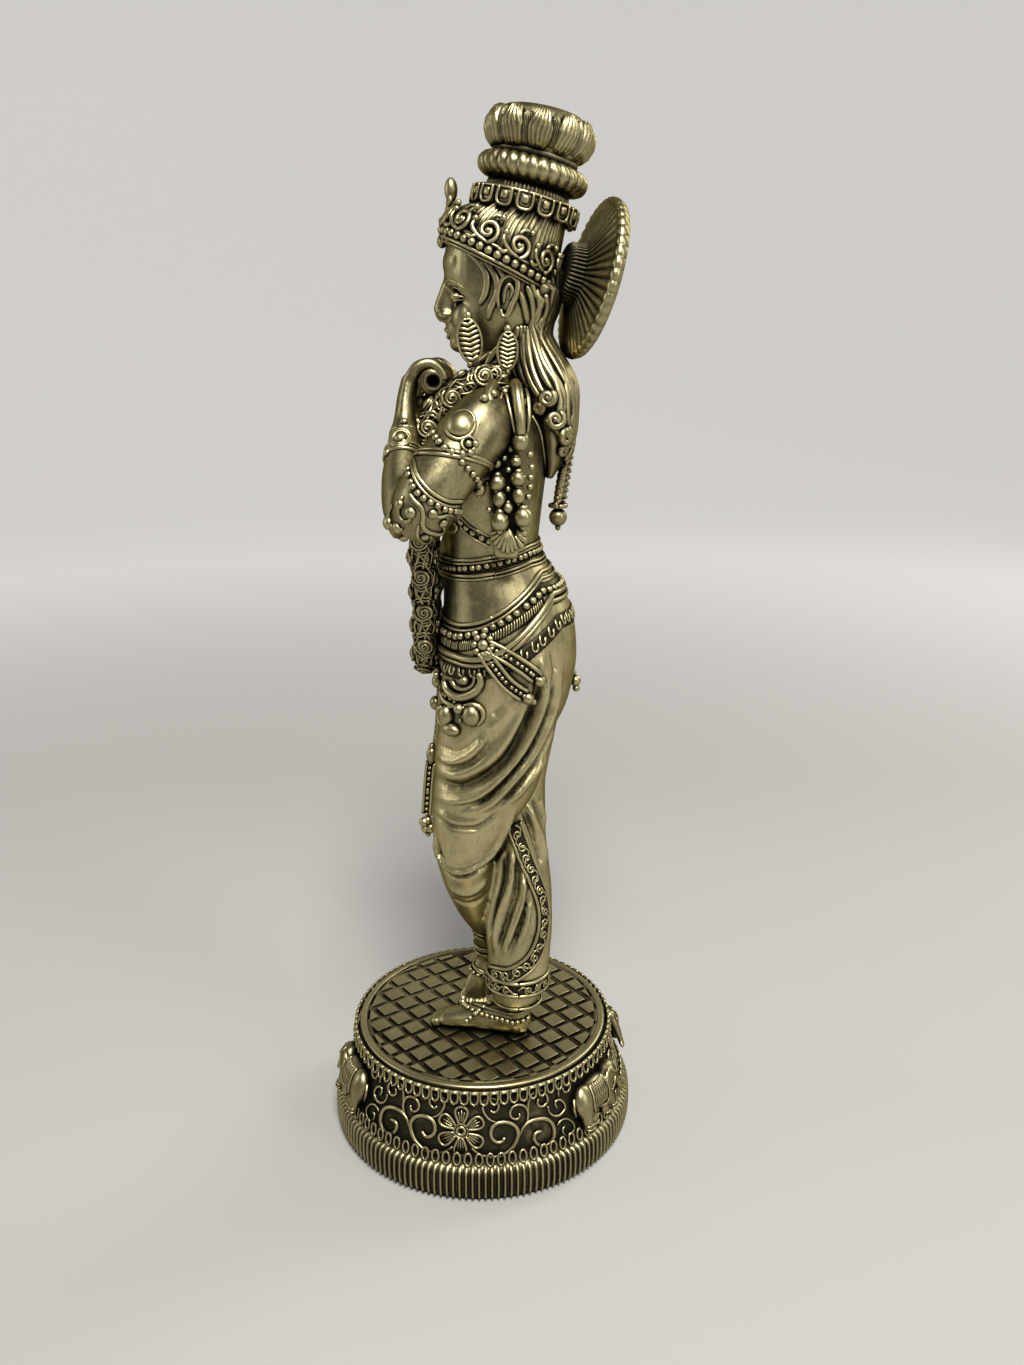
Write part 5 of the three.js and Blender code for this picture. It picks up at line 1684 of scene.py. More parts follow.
chooser = random.Random(4)
places = []
for row, i in enumerate(range(2, len(garland_path) - 2, round(ROSE_STEP / PATH_STEP))):
    for k in range(2):
        turn = math.pi * (k + (0.5 if row % 2 else 0)) + chooser.uniform(-0.1, 0.1)
        middle, ahead, away = round_rope(i, turn)
        size = ROSE_SIZE * chooser.uniform(0.94, 1.04)
        places.append(stand(middle + away * (CORE_RADIUS + 0.2), away, size, tuple(ahead)))
roses = copies("roses", rose, places)
petal_lines = []
for k in range(PETAL_STRANDS):
    line = []
    for i in range(0, len(garland_path), 3):
        sway = 0.2 * math.sin(i * 0.42 + k * 2.4) + 0.08 * math.sin(i * 0.97 + k)
        middle, _, away = round_rope(i, 2 * math.pi * k / PETAL_STRANDS + sway)
        line.append(middle + away * (CORE_RADIUS + 0.25 + 0.3 * math.sin(i * 0.55 + k * 1.7)))
    petal_lines.append((line, 0.42))
garland = join("garland", [garland_core, roses, strands("rope_petals", petal_lines, 1)])
brass_garland = antique_brass("brass_garland", reach=1.6, dark=0.85, blotch=0.3)
dress(garland, brass_garland)

# Jewels on the arms.
# A beaded armlet under a rimmed oval on each shoulder, a second one with scrolls above the
# elbow, and a bracelet with a stone, all cast on the skin.
body_and_hands = tree_of(body, left_hand, right_hand)


def long_runs(places):
    return [run for run in runs(places, 3) if len(run) > 3]


def cuff_ring(centre, axis, radius, slide):
    """Places of a ring round the wrist, without those that would fall on another part."""
    axis = Vector(axis).normalized()
    middle = Vector(centre) + axis * slide
    side = axis.cross(Vector((0, 0.3, 1))).normalized()
    rise = axis.cross(side)
    found = []
    for i in range(41):
        turn = 2 * math.pi * i / 40
        away = side * math.cos(turn) + rise * math.sin(turn)
        point, normal, _, _ = body_and_hands.find_nearest(middle + away * radius)
        if (point - middle).length < radius + 3 and normal.dot(away) > 0.2:
            found.append((point + normal * 0.15, normal))
    return long_runs(found)


def limb_ring(pixels, rows, side):
    """A ring round a limb, in the plane that holds a line of pixels and is squarest to the limb."""
    near = only_points(laid(body_tree, pixels))
    chord = near[-1] - near[0]
    middle = sum(near, Vector()) / len(near)
    path = [Vector(row[:3]) for row in rows]
    if side < 0:
        path = [Vector(limb_twin(p)) for p in path]
        middle = Vector(limb_twin(middle))
        chord = Vector(limb_twin(near[-1])) - Vector(limb_twin(near[0]))
    i = min(range(1, len(path) - 1), key=lambda k: (path[k] - middle).length)
    axis = path[i + 1] - path[i - 1]
    axis = (axis - chord * (axis.dot(chord) / chord.length_squared)).normalized()
    centre = path[i] - axis * axis.dot(path[i] - middle)
    out = axis.cross(Vector((0, 0.3, 1))).normalized()
    found = []
    for k in range(73):
        away = Matrix.Rotation(2 * math.pi * k / 72, 3, axis) @ out
        point = body_tree.ray_cast(centre, away)[0]
        if point is not None and (point - centre).length < 14:
            found.append((point + away * 0.25, away))
    return long_runs(found)


def limb_twin(place):
    """The like of a place on the right arm, which reaches further along the flute."""
    x, y, z = place
    shift = np.interp(y, [-18, 6], [RIGHT_ELBOW_SHIFT, 0])
    if y < -14 and z > 215:
        shift = np.interp(z, [215, 241], [RIGHT_ELBOW_SHIFT, 21])
    return (-x - shift, y, z)


def on_arm(side, tree, places, lift):
    """Places on the left arm, or their likes on the right one."""
    if side > 0:
        return places
    return settled(tree, [limb_twin(p) for p in only_points(places)], lift)


ARMLET_LINES = [
    [(435, 450.6), (444, 457), (462, 461.6), (481.7, 459.4)],
    [(434, 446), (443, 452.6), (460, 458), (482, 455.4)],
]
ARMLET_BEADS = [
    (434, 434), (437.5, 439.5), (444.8, 448), (453, 452.4), (461.8, 454), (469.6, 452.8), (475, 444),
]
CUFF = ((20.4, -20.6, 233.4), (-6, 0.3, 6), 5.2)
ELBOW_LINES = [  # pixels, radius
    ([(414.5, 459), (416.5, 472), (422.5, 482.5), (434, 494), (449, 501), (464, 501)], 0.65),
    ([(411.6, 461.7), (413.6, 473.5), (419, 485.5), (431, 498), (447, 505.6), (463, 505.6)], 0.55),
    ([(409.8, 492.8), (415, 501), (421.3, 507.3), (423.5, 516), (422.5, 524.2), (426, 530), (432, 532.6),
      (439, 533.5), (443.5, 530), (442.7, 525)], 0.75),
    ([(419, 525), (417.5, 532), (419, 538.7), (425, 542.5), (431, 539.5), (430, 534.5)], 0.6),
    ([(432, 515), (440, 517), (448, 514), (455, 517), (462, 515)], 0.6),
    ([(403, 496), (399, 511), (402, 520), (409, 521), (412, 514)], 0.6),
    ([(393, 505), (390, 514), (391, 524), (396, 530), (403, 529)], 0.7),
    ([(445, 527), (452, 522), (458, 526), (455, 532), (449, 532)], 0.6),
]
ELBOW_BEADS = [
    (409, 470), (409.8, 477), (413, 486), (418.7, 493.7), (427.5, 500.4), (436.4, 504.8), (445.2, 509.2),
    (454, 510.4), (462, 510.4),
]
ELBOW_BALLS = [
    ((399.5, 504.3), 1.5), ((410.6, 512.7), 1.7), ((397.6, 528), 1.7), ((389, 523), 2), ((425, 536.4), 1.3),
    ((432.8, 514), 1.5), ((443, 523), 1.4), ((404, 537), 1.5),
]
SEATS = [  # pixel of a seat, half width, half height, its rims, its stone and its rims' thickness
    ((460.5, 424.5), 4.0, 4.5, (1,), 3.9, 0.6), ((468.5, 444), 1.9, 1.9, (1,), 1.1, 0.5),
    ((400.3, 438.4), 3.1, 3.1, (1, 0.78), 1.8, 0.7),
    ((404.3, 421.8), 0.8, 0.8, (1,), 1.1, 0.3), ((387.7, 452.8), 0.8, 0.8, (1,), 1.2, 0.3),
]
arm_lines = []
arm_beads = []
arm_balls = []
for side in (1, -1):
    for pixels in ARMLET_LINES:
        arm_lines += [(only_points(run), 0.6) for run in limb_ring(pixels, UPPER_ARM, side)]
    row = on_arm(side, body_tree, traced(body_tree, ARMLET_BEADS, 0.35), 0.35)
    arm_beads += [(p, n, 1.15) for p, n in spaced(row, 2.5)]
    for run in limb_ring(ARMLET_BEADS[1:4], UPPER_ARM, side):
        arm_beads += [
            (p, n, 1.0) for p, n in spaced(run, 2.5) if all((p - q).length > 2.1 for q, _, _ in arm_beads)
        ]
    centre, axis, radius = CUFF
    if side < 0:
        centre, axis = limb_twin(centre), (-axis[0], *axis[1:])
    for slide, thick in ((-1.3, 0.7), (0, 0.5), (1.2, 0.7)):
        arm_lines += [(only_points(run), thick) for run in cuff_ring(centre, axis, radius, slide)]
    for pixels, thick in ELBOW_LINES:
        line = only_points(on_arm(side, body_tree, traced(body_tree, pixels, 0.2), 0.2))
        arm_lines.append((line, tapered(len(line), thick, 0.6, 0.7)))
    row = on_arm(side, body_tree, traced(body_tree, ELBOW_BEADS, 0.3), 0.3)
    arm_beads += [(p, n, 1.05) for p, n in spaced(row, 2.2)]
    for pixel, size in ELBOW_BALLS:
        arm_balls += [(p, n, size) for p, n in on_arm(side, body_tree, laid(body_tree, [pixel], 0.1), 0.1)]
    # the oval on the shoulder, the rosette of the armlet and the stone on the wrist
    for pixel, wide, tall, rims, heart, thick in SEATS:
        point, normal = on_arm(side, body_and_hands, laid(body_and_hands, [pixel], 0.25), 0.25)[0]
        for share in rims:
            ring = oval_on(point, *side_and_rise(normal), wide * share, tall * share, 27)
            arm_lines.append((only_points(settled(body_and_hands, ring + ring[1:2], 0.35)), thick))
        arm_balls.append((point, normal, heart))
arm_jewels = join("arm_jewels", [
    strands("arm_cords", arm_lines), beads("arm_beads", arm_beads),
    beads("arm_balls", arm_balls, 3, 0.8, 2.3),
])
dress(arm_jewels, brass_relief)

# Shoulder tassels.
# From each shoulder hang two leaf tongues and pairs of bell buds on a cord, down to a fan of
# ribs. They are cast free of the arm and joined to the back of the shoulder.
TASSEL_PLANE = 31.5
TASSEL_CORE = [
    (22, 8.5, 252, 3, 1.6), (27, 8.6, 244, 3, 1.4), (28.4, 8.8, 234, 4.4, 1.2), (28, 9, 222, 5, 1.2),
    (26.5, 9, 212, 4.4, 1.2), (25, 8.8, 205, 3.4, 1.2),
]
TONGUES = [
    [(20, 5.4, 250.6, 3, 1.8), (26, 5.2, 252.4, 3.3, 1.8), (30.2, 4.6, 250.2, 3.5, 1.8),
     (32.6, 3.6, 245, 3, 1.7), (32.8, 3.2, 240, 2, 1.5)],
    [(20, 11, 250.6, 3, 1.8), (26, 11.4, 252.4, 3.3, 1.8), (30.2, 12, 250.2, 3.4, 1.8),
     (32.6, 12.8, 245, 2.9, 1.7), (32.8, 13, 240.6, 2, 1.5)],
]
BULBS = [((489.5, 444), 2.1, 1.35), ((520.3, 441), 2.4, 1.2)]  # pixel, radius, how much taller than wide
BELLS = [
    ((496, 463.4), 1.5, 1), ((516, 461.7), 1.5, 1), ((497.2, 482.7), 2.35, 1), ((518.3, 478.9), 2.2, 1),
    ((499.4, 498.8), 1.8, 1.35),
    ((518.9, 496), 1.8, 1.35), ((499.9, 521.5), 2.6, 1.1), ((523.3, 517.5), 2.6, 1.1),
    ((479.5, 489.3), 1.9, 1.1), ((508, 508), 1.5, 1.1),
]
EDGE_BEADS = [
    (530, 454.6), (531.5, 467.2), (530.4, 477.6), (530, 487), (528.2, 497), (484, 474), (487, 483),
    (489, 510), (508.5, 470), (508, 489), (499.4, 450.6), (510.5, 449), (504, 458), (505, 437), (504, 428),
]
TOP_BEADS = [
    (484, 400), (493, 395.5), (504, 394), (512.5, 397), (520, 396), (519, 384), (519.5, 390), (520.5, 403),
]
RIBS_BETWEEN = [
    ((496, 404), (499, 424)), ((500, 403), (502, 425)), ((504, 402), (505, 425)), ((508, 402), (508, 424)),
]
FAN_TOP = (507, 528)
FAN_ENDS = [(490, 534), (491, 540), (494, 545), (498, 549), (503, 552.5), (508, 554), (513, 553), (517, 550)]
LEAVES = [
    [(516, 530), (522, 533), (527, 536)], [(516, 533), (522, 538), (527, 542)],
    [(514, 535), (519, 543), (524, 548)],
]

outwards = Vector((1, 0, 0.15)).normalized()
tassel_core = tube("core", TASSEL_CORE, 12, front=(1, 0, 0), step=1.2)
tassel_forms = []
tassel_lines = []
for rows, (pixel, radius, tall) in zip(TONGUES, BULBS):
    tassel_forms.append(tube("tongue", rows, 16, step=1, power=2.4))
    table = dense(rows, 1.2)
    for edge in (-1, 1):
        line = [(x + 1.0, y + edge * wide * 0.85, z + 0.3) for x, y, z, wide, _ in table]
        tassel_lines.append((line, tapered(len(line), 0.6)))
    centre = at_x([pixel], TASSEL_PLANE + 0.8)[0]
    tassel_forms.append(ball("bulb", centre, (radius, radius, radius * tall), across=20))
    tassel_lines.append(
        (curl((centre + Vector((0.6, 0, radius * tall * 1.1)), outwards), radius * 0.8, 1.2, 0, 1), 0.5)
    )
for pixel, radius, tall in BELLS:
    centre = at_x([pixel], TASSEL_PLANE)[0]
    tassel_forms.append(ball("bell", centre, (radius, radius, radius * tall), across=18, down=12))
    ends = [(-0.1, radius * tall * 0.95, 0.5, 0.4)]
    if radius > 1.7:
        ends.append((0, -radius * tall * 0.75, 0.4, 0.62))
    for x, z, wide, high in ends:
        sizes = (radius * wide, radius * wide, radius * high)
        tassel_forms.append(ball("bell_end", centre + Vector((x, 0, z)), sizes, across=12, down=8))
tassel_balls = [(p, outwards, 0.95) for p in at_x(EDGE_BEADS, TASSEL_PLANE - 0.6)]
tassel_balls += [(p, n, 1.3) for p, n in laid(tree_of(body, hair), TOP_BEADS, 0.6)]
for line in RIBS_BETWEEN:
    tassel_lines.append((at_x(line, TASSEL_PLANE - 1.4), 0.5))
fan_top = at_x([FAN_TOP], 29.5)[0]
for end in FAN_ENDS:
    tip = at_x([end], 30)[0]
    path = smooth_path([fan_top, (fan_top + tip) / 2 + Vector((0.8, 0, 0.3)), tip], 0.8)
    tassel_lines.append((path, tapered(len(path), 0.8, 0.5, 0.6)))
for leaf in LEAVES:
    path = smooth_path(at_x(leaf, 29.6), 0.8)
    tassel_lines.append((path, tapered(len(path), 1.0, 0.4, 0.3)))
tassel_forms += [strands("tassel_cords", tassel_lines), beads("tassel_balls", tassel_balls)]
tassel = join("tassel", tassel_forms)


def with_twin(name, piece):
    """A piece joined with its like on the statue's other side."""
    twin = own_copy(piece)
    mirror(twin, threshold=0.0005)
    return join(name, [piece, twin])


# the core behind the bells is dark almost all over: patina, and painted shade for the deep gap behind the
# bells
brass_tassel_core_painted_shade = antique_brass("brass_tassel_core_painted_shade", reach=4, dark=0.95, blotch=0.2)
dress(with_twin("shoulder_tassels", tassel), brass_relief)
dress(with_twin("tassel_cores", tassel_core), brass_tassel_core_painted_shade)

# Bands, belts and sash.
# A beaded band under the ribs and two belts round the hips, with fringes and beads, then a
# knotted sash with beaded ribbons at the left hip and its like at the right.
def girdle(pixels, lift=0.0, drop=0.0):
    """A closed ring round the body that passes under pixels of the photograph."""
    near = np.array([tuple(p) for p in only_points(laid(body_tree, pixels))])
    slope = np.polyfit(near[:, 1], near[:, 2], 2 if len(near) > 3 else 1)
    low, high = near[:, 1].min(), near[:, 1].max()
    found = []
    for i in range(201):
        turn = 2 * math.pi * i / 200
        away = Vector((math.cos(turn), math.sin(turn), 0))
        y = 5 + 22 * math.sin(turn)
        for _ in range(3):  # the ring's height follows from Y, and Y from where it meets the body
            height = float(np.polyval(slope, min(max(y, low), high))) - drop
            point, normal, _, _ = body_tree.ray_cast(Vector((0, 5, height)) + away * 60, -away)
            y = point.y
        found.append((point + normal * lift, normal))
    return found


def fringe(ring):
    """Short cords that hang below a ring of beads."""
    lines = []
    for point, normal in spaced(ring, FRINGE_PITCH):
        down = Vector((0, 0, -1)) - normal * normal.dot(Vector((0, 0, -1)))
        down.normalize()
        hung = [point + down * (FRINGE_TOP + FRINGE_LENGTH * t) for t in (0, 0.35, 0.7, 1)]
        lines.append((only_points(settled(body_tree, hung, 0.2)), FRINGE_RADII))
    return lines


FRINGE_PITCH = 0.92
FRINGE_TOP = 1.4
FRINGE_LENGTH = 3.4
FRINGE_RADII = (0.272, 0.34, 0.34, 0.17)
BAND_TOP = [(448, 558.5), (462, 560), (480, 559.5), (505, 554), (530, 545)]
BAND_BEADS = [(446, 567), (470, 568), (500, 564), (530, 553)]
BAND_LOW = [(450, 574), (470, 576), (490, 574.5), (510, 570), (530, 562)]
BELT_TOP = [(459.6, 626.5), (484, 616.6), (515, 605.5), (534.9, 585.6), (540.4, 565.7)]
BELT_BEADS = [(457.4, 638.7), (474, 631), (495, 624), (515, 617.7), (530.4, 605.5), (541, 588)]
BELT_ROLL = [(457.4, 658.6), (484, 652), (515, 643), (537, 627.7), (550.3, 601), (549.2, 581)]
BELT_COMB = [(457, 664), (491, 659), (523, 649), (546, 634), (559, 608)]
COMB_PITCH = 3.6
COMB_DROP = 3.2
COMB_OUTLINE = [  # across, and down as a share of the drop
    (-1.1, 0), (-1.1, 0.75), (-0.6, 1), (0.3, 1), (0.7, 0.75), (0.7, 0.25),
]
BELT_CORDS = [  # the line it follows, how far out and how far below it, and its radius
    (BAND_TOP, 0.3, 0, 0.55), (BAND_TOP, 0.3, 1.1, 0.44), (BAND_LOW, 0.3, 0, 0.55),
    (BAND_LOW, 0.3, 1.1, 0.44),
    (BELT_TOP, 0.3, 0, 0.7), (BELT_TOP, 0.3, 1.7, 0.55), (BELT_ROLL, 0.6, 0, 1.05),
    (BELT_ROLL, 0.45, 1.9, 0.8),
]
belt_lines = [(only_points(girdle(pixels, lift, drop)), radius) for pixels, lift, drop, radius in BELT_CORDS]
bead_ring = girdle(BELT_BEADS, 0.55)
belt_lines += fringe(bead_ring)
belt_beads = [(p, n, 1.0) for p, n in spaced(girdle(BAND_BEADS, 0.3), 2.2)]
belt_beads += [(p, n, 1.2) for p, n in spaced(bead_ring, 2.85)]
for point, normal in spaced(girdle(BELT_COMB, 0.25, 0.6), COMB_PITCH)[:-1]:
    side = side_and_rise(normal)[0]
    loop = [point + side * x - Vector((0, 0, COMB_DROP * share)) for x, share in COMB_OUTLINE]
    belt_lines.append((only_points(settled(body_tree, loop, 0.25)), 0.42))
belts = join("belts", [strands("belt_cords", belt_lines, 1), beads("belt_beads", belt_beads)])
dress(belts, brass_relief)
belt_grounds = []
for pixels, drop, reach in ((BELT_BEADS, 0.8, 3.6), (BELT_COMB, 2.4, 2.3), (BAND_BEADS, 0, 1.6)):
    belt_grounds.append(ribbon("belt_ground", girdle(pixels, 0, drop), reach, 0.16, 5))
dress(join("belt_grounds", belt_grounds), brass_black)

# the strap from the chest to the back under the arm, and the edge of the plate behind it
CHEST_STRAP = [(462, 522), (470, 530), (479, 536), (489, 541)]
PLATE_EDGE = [(536, 416), (544.8, 435), (550.3, 475), (550.3, 494.9), (541.5, 514.8), (528.2, 528)]
sash_lines = []
sash_balls = []
for pixels, radius in ((PLATE_EDGE, 0.6), ([(u - 5, v) for u, v in PLATE_EDGE], 0.5)):
    for run in both_sides(body_tree, traced(body_tree, pixels, 0.3), 0.3):
        sash_lines.append((only_points(run), radius))
for run in both_sides(body_tree, traced(body_tree, CHEST_STRAP, 0.4), 0.4):
    sash_balls += [(p, n, 1.05) for p, n in spaced(run, 2.3)]
    for shift in (-1.5, 1.5):
        sash_lines.append(([p + Vector((0, 0, shift)) for p in only_points(run)], 0.5))

# the sash: a rosette, two beaded ribbons with buds, and a looped knot in front
ROSETTE = (484, 645)
RIBBONS = [[(488, 646), (505, 655), (523, 667), (536, 677)], [(484, 650), (494, 666), (508, 683), (524, 695)]]
RIBBON_REACH = 1.75
KNOT_ROLLS = [  # pixels and radius
    ([(480, 672), (482, 682), (475, 692), (461, 697), (450, 691), (446, 680)], 1.35),
    ([(476, 676), (474, 684), (466, 689), (457, 687), (453, 680)], 0.8),
    ([(442, 690), (447, 701), (457, 706)], 1.0),
    ([(460, 706), (452, 706), (443, 711), (441, 720), (446, 727)], 0.9),
    ([(462, 706), (473, 704), (482, 709), (483, 718), (477, 725)], 0.9),
]
KNOT_LOBES = [  # pixel and half sizes
    ((448, 716), (2.5, 2.5, 3.6)), ((472, 715.5), (2.3, 2.9, 3.4)), ((452, 729), (2.0, 3.5, 2.1)),
    ((461, 708), (2.4, 1.9, 1.9)),
    ((466, 680), (1.8, 1.5, 1.5)), ((444, 709), (2.0, 1.5, 1.8)),
]
KNOT_BEADS = [(446.7, 693.8), (457, 701), (467, 710.4), (462, 720)]
FRONT_BALLS = [  # place and radius
    ((3.4, -13.2, 165), 2), ((-3.4, -13.2, 165), 2), ((0, -13.6, 160), 2.4), ((9, -13.4, 164.6), 1.3),
    ((-9, -13.4, 164.6), 1.3),
]
sash_grounds = []
for pixels in RIBBONS:
    for run in both_sides(body_tree, traced(body_tree, pixels, 0.7), 0.7):
        sash_grounds.append(ribbon("ribbon", run, RIBBON_REACH, 0.2))
        raised = [(p + n * 0.3, n) for p, n in run]
        sash_lines += [(edge, 0.62) for edge in strap_edges(raised, RIBBON_REACH)]
        sash_balls += [(p + n * 0.3, n, 0.72) for p, n in spaced(run, 1.75)[1:]]
        end, normal = run[-1]
        ahead = (end - run[-4][0]).normalized()
        sash_balls += [(end + ahead * 1.6, normal, 1.9), (end + ahead * 3.6, normal, 1.0)]
for run in both_sides(body_tree, laid(body_tree, [ROSETTE], 0.5), 0.5):
    point, normal = run[0]
    sash_balls.append((point, normal, 1.9))
    petals = oval_on(point, *side_and_rise(normal), 2.8, 2.8, 9)[:-1]
    sash_balls += [(petal, normal, 1.15) for petal in petals]
for pixels, radius in KNOT_ROLLS:
    lift = radius * 0.7
    for run in both_sides(body_tree, traced(body_tree, pixels, lift), lift):
        sash_lines.append((only_points(run), tapered(len(run), radius, 0.6, 0.5, 0.3)))
knot_forms = []
for pixel, sizes in KNOT_LOBES:
    for run in both_sides(body_tree, laid(body_tree, [pixel], 0.7), 0.7):
        point, normal = run[0]
        knot_forms.append(ball("lobe", point, sizes, (0, 0, math.degrees(math.atan2(normal.y, normal.x)))))
for run in both_sides(body_tree, traced(body_tree, KNOT_BEADS, 1.2), 1.2):
    sash_balls += [(p, n, 0.7) for p, n in spaced(run, 1.7)]
sash_balls += [(place, (0, -1, 0), radius) for place, radius in FRONT_BALLS]
sash = join(
    "sash", knot_forms + [strands("sash_folds", sash_lines), beads("sash_balls", sash_balls, 2, 0.85)],
)
dress(sash, brass_relief)
dress(join("sash_grounds", sash_grounds), brass_black)

# the long front tassel and the bud at the back
UPPER_STRAP = [(0, -12.8, 160), (0.6, -13.4, 150), (1.4, -14, 143), (2.6, -15, 137)]
STRAP_PIXELS = [(431.5, 762), (430.4, 770), (429, 785), (428, 800), (427, 814)]
STRAP_X = 4
UPPER_FACE = Vector((0.25, -1, 0)).normalized()
STRAP_FACE = Vector((0.85, -0.53, 0)).normalized()
BUD_PIXEL = (432, 755)
END_BUDS = [
    ((424.5, 822), 1.8), ((430.8, 827.7), 1.8), ((428, 820), 1.5), ((425.5, 828.5), 1.5), ((428, 834), 0.9),
]
BACK_BALLS = [((0, 31, 160.2), 1.9), ((0, 31.4, 157.6), 1.2), ((0, 30.2, 163), 1.2)]
lines = []
balls = []
strap_grounds = []
for path, face in ((UPPER_STRAP, UPPER_FACE), (at_x(STRAP_PIXELS, STRAP_X), STRAP_FACE)):
    run = [(Vector(p), face) for p in smooth_path(path, 1)]
    strap_grounds.append(ribbon("strap", run, 1.35, 0.1))
    for edge in strap_edges([(p + n * 0.2, n) for p, n in run], 1.45):
        lines.append((edge, 0.6))
    balls += [(p + n * 0.25, n, 0.72) for p, n in spaced(run, 1.8)]
bud_place = at_x([BUD_PIXEL], STRAP_X)[0]
balls += [(at_x([pixel], STRAP_X + 0.5)[0], (0, -1, 0), radius) for pixel, radius in END_BUDS]
balls += [(place, (0, 1, 0), radius) for place, radius in BACK_BALLS]
front_tassel = join("front_tassel", [
    ball("bud", bud_place, (1.9, 1.9, 2.9)), ball("bud_cap", bud_place + Vector((0, 0, 3)), (1.1, 1.1, 1.2)),
    ball("knot", (0.2, -14.4, 152.6), (2.2, 2, 2.4)), strands("tassel_edges", lines),
    beads("tassel_beads", balls, 3),
])
dress(front_tassel, brass_relief)
dress(join("strap_grounds", strap_grounds), brass_black)

# Borders and anklets.
# The cloth's hanging edge over the standing leg has a band of running scrolls between two
# cords, its hem closes in a ring, and both ankles carry beads.
BORDER_MIDDLE = [
    (513, 822), (526.5, 860), (541, 897), (543, 926), (537, 950), (527, 965), (510, 975), (491, 973),
]
BORDER_REACH = 2.3
SCROLL_PITCH = 4
SCROLL_SIZE = 1.6
HEM_MIDDLE = (12.9, 12.4)
border_lines = []
border_grounds = []


def running_scrolls(places, size, pitch, thick):
    """Curls that turn one way and the other along a line, on a wave that joins them."""
    made = []
    for i, (point, normal) in enumerate(spaced(places, pitch)[1:-1]):
        sense = 1 if i % 2 else -1
        loop = curl((point + normal * 0.25, normal), size, 1.3, 90 * sense, sense, hollow=0.2, count=20)
        made.append((loop, tapered(len(loop), thick, 0.8, 1)))
    points = np.array([tuple(p) for p, _ in places])
    wave = []
    for (point, normal), ahead, run in zip(places, np.gradient(points, axis=0), distances(points)):
        across = normal.cross(Vector(ahead)).normalized()
        wave.append(point + across * (size * 0.95 * math.sin(run / pitch * math.pi)) + normal * 0.2)
    made.append((wave, thick))
    return made


middle_run = traced(body_tree, BORDER_MIDDLE, 0.25, 0.6)
border_grounds.append(ribbon("border_ground", middle_run, BORDER_REACH, 0.3))
for edge in strap_edges(middle_run, BORDER_REACH):
    border_lines.append((only_points(settled(body_tree, edge, 0.55)), 0.62))
border_lines += running_scrolls([(p + n * 0.25, n) for p, n in middle_run], SCROLL_SIZE, SCROLL_PITCH, 0.38)

# the hem's ring: a band of scrolls between cords, and the plain cuff below it
def level_ring(centre, wide, deep, height, slope=0.0):
    """A closed ring round a leg. slope lowers its back."""
    x, y = centre
    turns = [(math.cos(a), math.sin(a)) for a in np.linspace(0, 2 * math.pi, 73)]
    return [(x + wide * c, y + deep * s, height - slope * s) for c, s in turns]


HEM_CORDS = [(62, 0, 0.7), (57.4, 0, 0.75), (56.5, -1.2, 0.5), (51.1, -2.2, 0.5)]  # height, growth, radius
hem_ways = level_ring((0, 0), 1, 1, 0)
hem_band = [(Vector(p), Vector(n)) for p, n in zip(level_ring(HEM_MIDDLE, 9.7, 10.1, 59.6), hem_ways)]
border_grounds.append(ribbon("hem_ground", hem_band, 2.0, 0.1))
for height, grow, thick in HEM_CORDS:
    ring = level_ring(HEM_MIDDLE, 9.9 + grow, 10.3 + grow, height)
    border_lines.append((ring + ring[1:2], thick))
border_lines += running_scrolls([(p + n * 0.25, n) for p, n in hem_band], 1.4, 3.6, 0.38)

# anklets
CROSSED_LINES = [
    [(471, 929), (482.4, 935), (495, 934)], [(470.5, 932), (482, 938.5), (494.5, 937.5)],
    [(474.8, 940), (472.2, 956.6), (477.3, 970.6), (485, 973.2), (488.8, 968)],
]
FOOT_BEADS = [
    (462, 1003.8), (467, 1007.6), (472, 1010), (477.3, 1012.7), (483.7, 1014.7), (490, 1016.5),
    (497.8, 1018.3), (505.4, 1020.3), (513, 1022.4), (523.3, 1020.3), (527, 1017.8),
]
FOOT_LINE = [(463.3, 1001.2), (479.9, 1006.3), (497.8, 1011.4), (510.5, 1014), (524, 1012)]
CROSSED_RINGS = [((-8.2, 1.5), 3.8, 57.6), ((-7.4, 1.4), 4.3, 60.2), ((-7, 1.4), 4.5, 61.4)]
CROSSED_CORD = ((-7.8, 0.8), 4, 4.4, 50.4, 1.2)
CROSSED_BEADS = ((-7.6, 0.4), 4, 4.6, 48.6, 1.2)
legs_tree = tree_of(cloth, standing_foot, crossed_foot)
for centre, wide, height in CROSSED_RINGS:
    ring = level_ring(centre, wide, wide, height)
    border_lines.append((only_points(settled(legs_tree, ring + ring[1:2], 0.25)), 0.5))
border_lines.append((only_points(settled(legs_tree, level_ring(*CROSSED_CORD), 0.25)), 0.5))
ankle_beads = [(p, n, 0.95) for p, n in spaced(settled(legs_tree, level_ring(*CROSSED_BEADS), 0.3), 2.0)]
for pixels in CROSSED_LINES:
    border_lines.append((only_points(traced(legs_tree, pixels, 0.2)), 0.5))
border_lines.append((only_points(traced(legs_tree, FOOT_LINE, 0.25)), 0.5))
near = traced(legs_tree, FOOT_BEADS, 0.35)
far = [(2 * HEM_MIDDLE[0] - p.x, p.y, p.z) for p in only_points(near)]
for run in (near, settled(tree_of(standing_foot), far, 0.35)):
    ankle_beads += [(p, n, 0.95) for p, n in spaced(run, 1.95)]
borders = join("borders", [strands("border_cords", border_lines, 1), beads("ankle_beads", ankle_beads)])
dress(borders, brass_relief)
dress(join("border_grounds", border_grounds), brass_black)

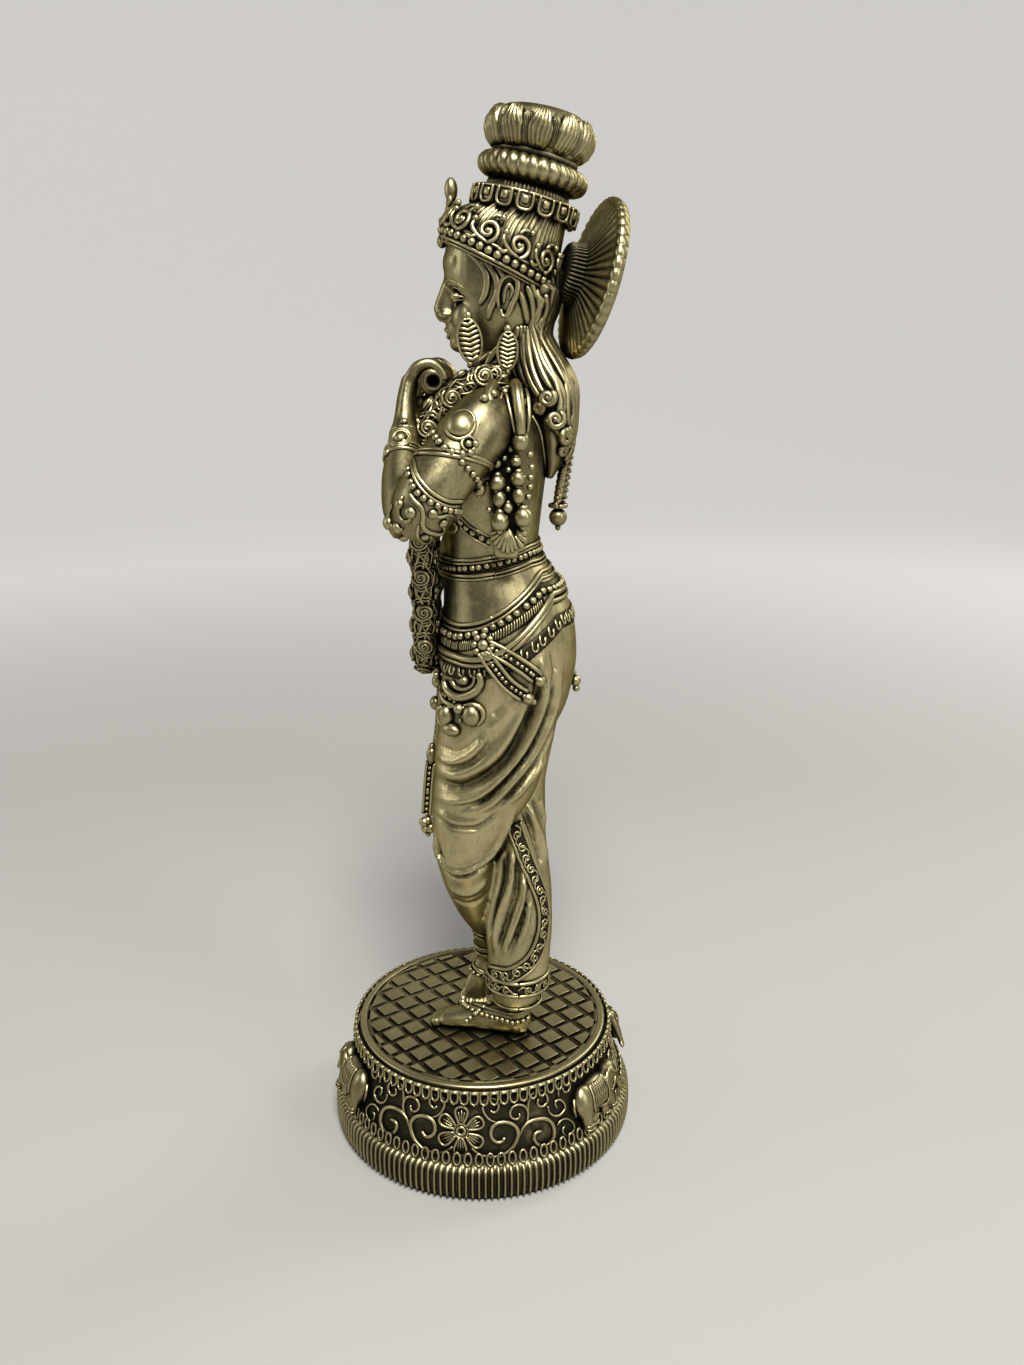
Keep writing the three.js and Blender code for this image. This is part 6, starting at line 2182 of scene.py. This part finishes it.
# Halo.
# A cast disc with radial flutes and a scalloped rim, pinned by its hub to the back of the
# hair. Its face turns up and to the figure's left.
HALO_CENTRE = Vector((0, 34, 282.6))
HALO_TURN = Matrix.Rotation(math.radians(14), 4, "Z") @ Matrix.Rotation(math.radians(-14.6), 4, "X")
HALO_FLUTES = 44
HUB = HALO_CENTRE + HALO_TURN @ Vector((0, -8, 0))
HALO_PROFILE = [  # distance in front of the rim, and radius
    (-1.5, 6), (-1.7, 14), (-1.9, 20.5), (-1.5, 22.3), (0, 23), (1.3, 22.8), (1.9, 21.9), (2, 21),
    (2.2, 20.2), (3.4, 15.5), (4.6, 10.8), (5.2, 9), (6, 8.7), (8.6, 8.4), (9.4, 7.8), (9.5, 4),
]
rings = []
angles = np.linspace(0, 2 * np.pi, HALO_FLUTES * 8, endpoint=False)
ridge = np.abs(np.cos(angles * HALO_FLUTES / 2)) ** 0.8
for ahead, radius in finer(HALO_PROFILE, 0.9):
    on_face_share = np.clip((radius - 8.8) / 1, 0, 1) * (1 if ahead > 1.6 else 0.25)
    rim = np.clip((radius - 20.4) / 1.6, 0, 1)
    r = radius + rim * 0.35 * (ridge - 0.5) + (0.9 * (ridge - 1) if ahead > 5.1 and radius > 7 else 0)
    y = -(ahead + (ridge - 1) * on_face_share * (1 - rim * 0.6))
    rings.append(np.stack([r * np.cos(angles), y, r * np.sin(angles)], 1))
halo = skin("halo", rings)
move_corners(halo, [HALO_CENTRE + HALO_TURN @ Vector(point) for point in corners(halo)])
tidy(halo)


def on_hub(start, place):
    """Near the hub, which is darkened."""
    away = start.of(start.node("VectorMath", {"operation": "DISTANCE"}, i0=place, i1=HUB * MM), "Value")
    return (1 - (away * 1000).between(8.5, 13)) * 0.85


brass_halo = antique_brass("brass_halo", reach=2.8, dark=0.8, blotch=0.4, ground=on_hub)
dress(halo, brass_halo, "halo")

# Flute.
# A cast rod with a bead ring at each end and a shallow bore, held under the fingers.
FLUTE_PROFILE = [  # distance from the left end, and radius
    (6, 0.2), (6, 1.5), (0.6, 1.6), (0.05, 1.9), (-0.3, 2.2), (-0.3, 2.6), (0, 2.9), (0.1, 3.4), (0.5, 3.85),
    (1.4, 3.9), (1.7, 3.6), (2.1, 3.6), (2.4, 3.9), (3, 3.9), (3.4, 3.7), (20, 3.65), (40, 3.65), (57, 3.65),
    (57.6, 3.9), (61, 3.9), (61.8, 3.4), (62, 2),
]
FLUTE_END = (12, -12.4, 254.3)
FLUTE_SIDES = 48
x, y, z = FLUTE_END
rings = []
angles = np.linspace(0, 2 * np.pi, FLUTE_SIDES, endpoint=False)
for away, radius in finer(FLUTE_PROFILE, 3):
    rings.append(
        np.stack(
            [np.full(FLUTE_SIDES, x - away), y + radius * np.cos(angles), z + radius * np.sin(angles)], 1,
        )
    )
flute = skin("flute", rings)
bpy.ops.object.shade_smooth_by_angle(angle=math.radians(40))
brass_flute = antique_brass("brass_flute", reach=2.5, dark=0.4, blotch=0.6, pits=0.2)
dress(flute, brass_flute, "flute")
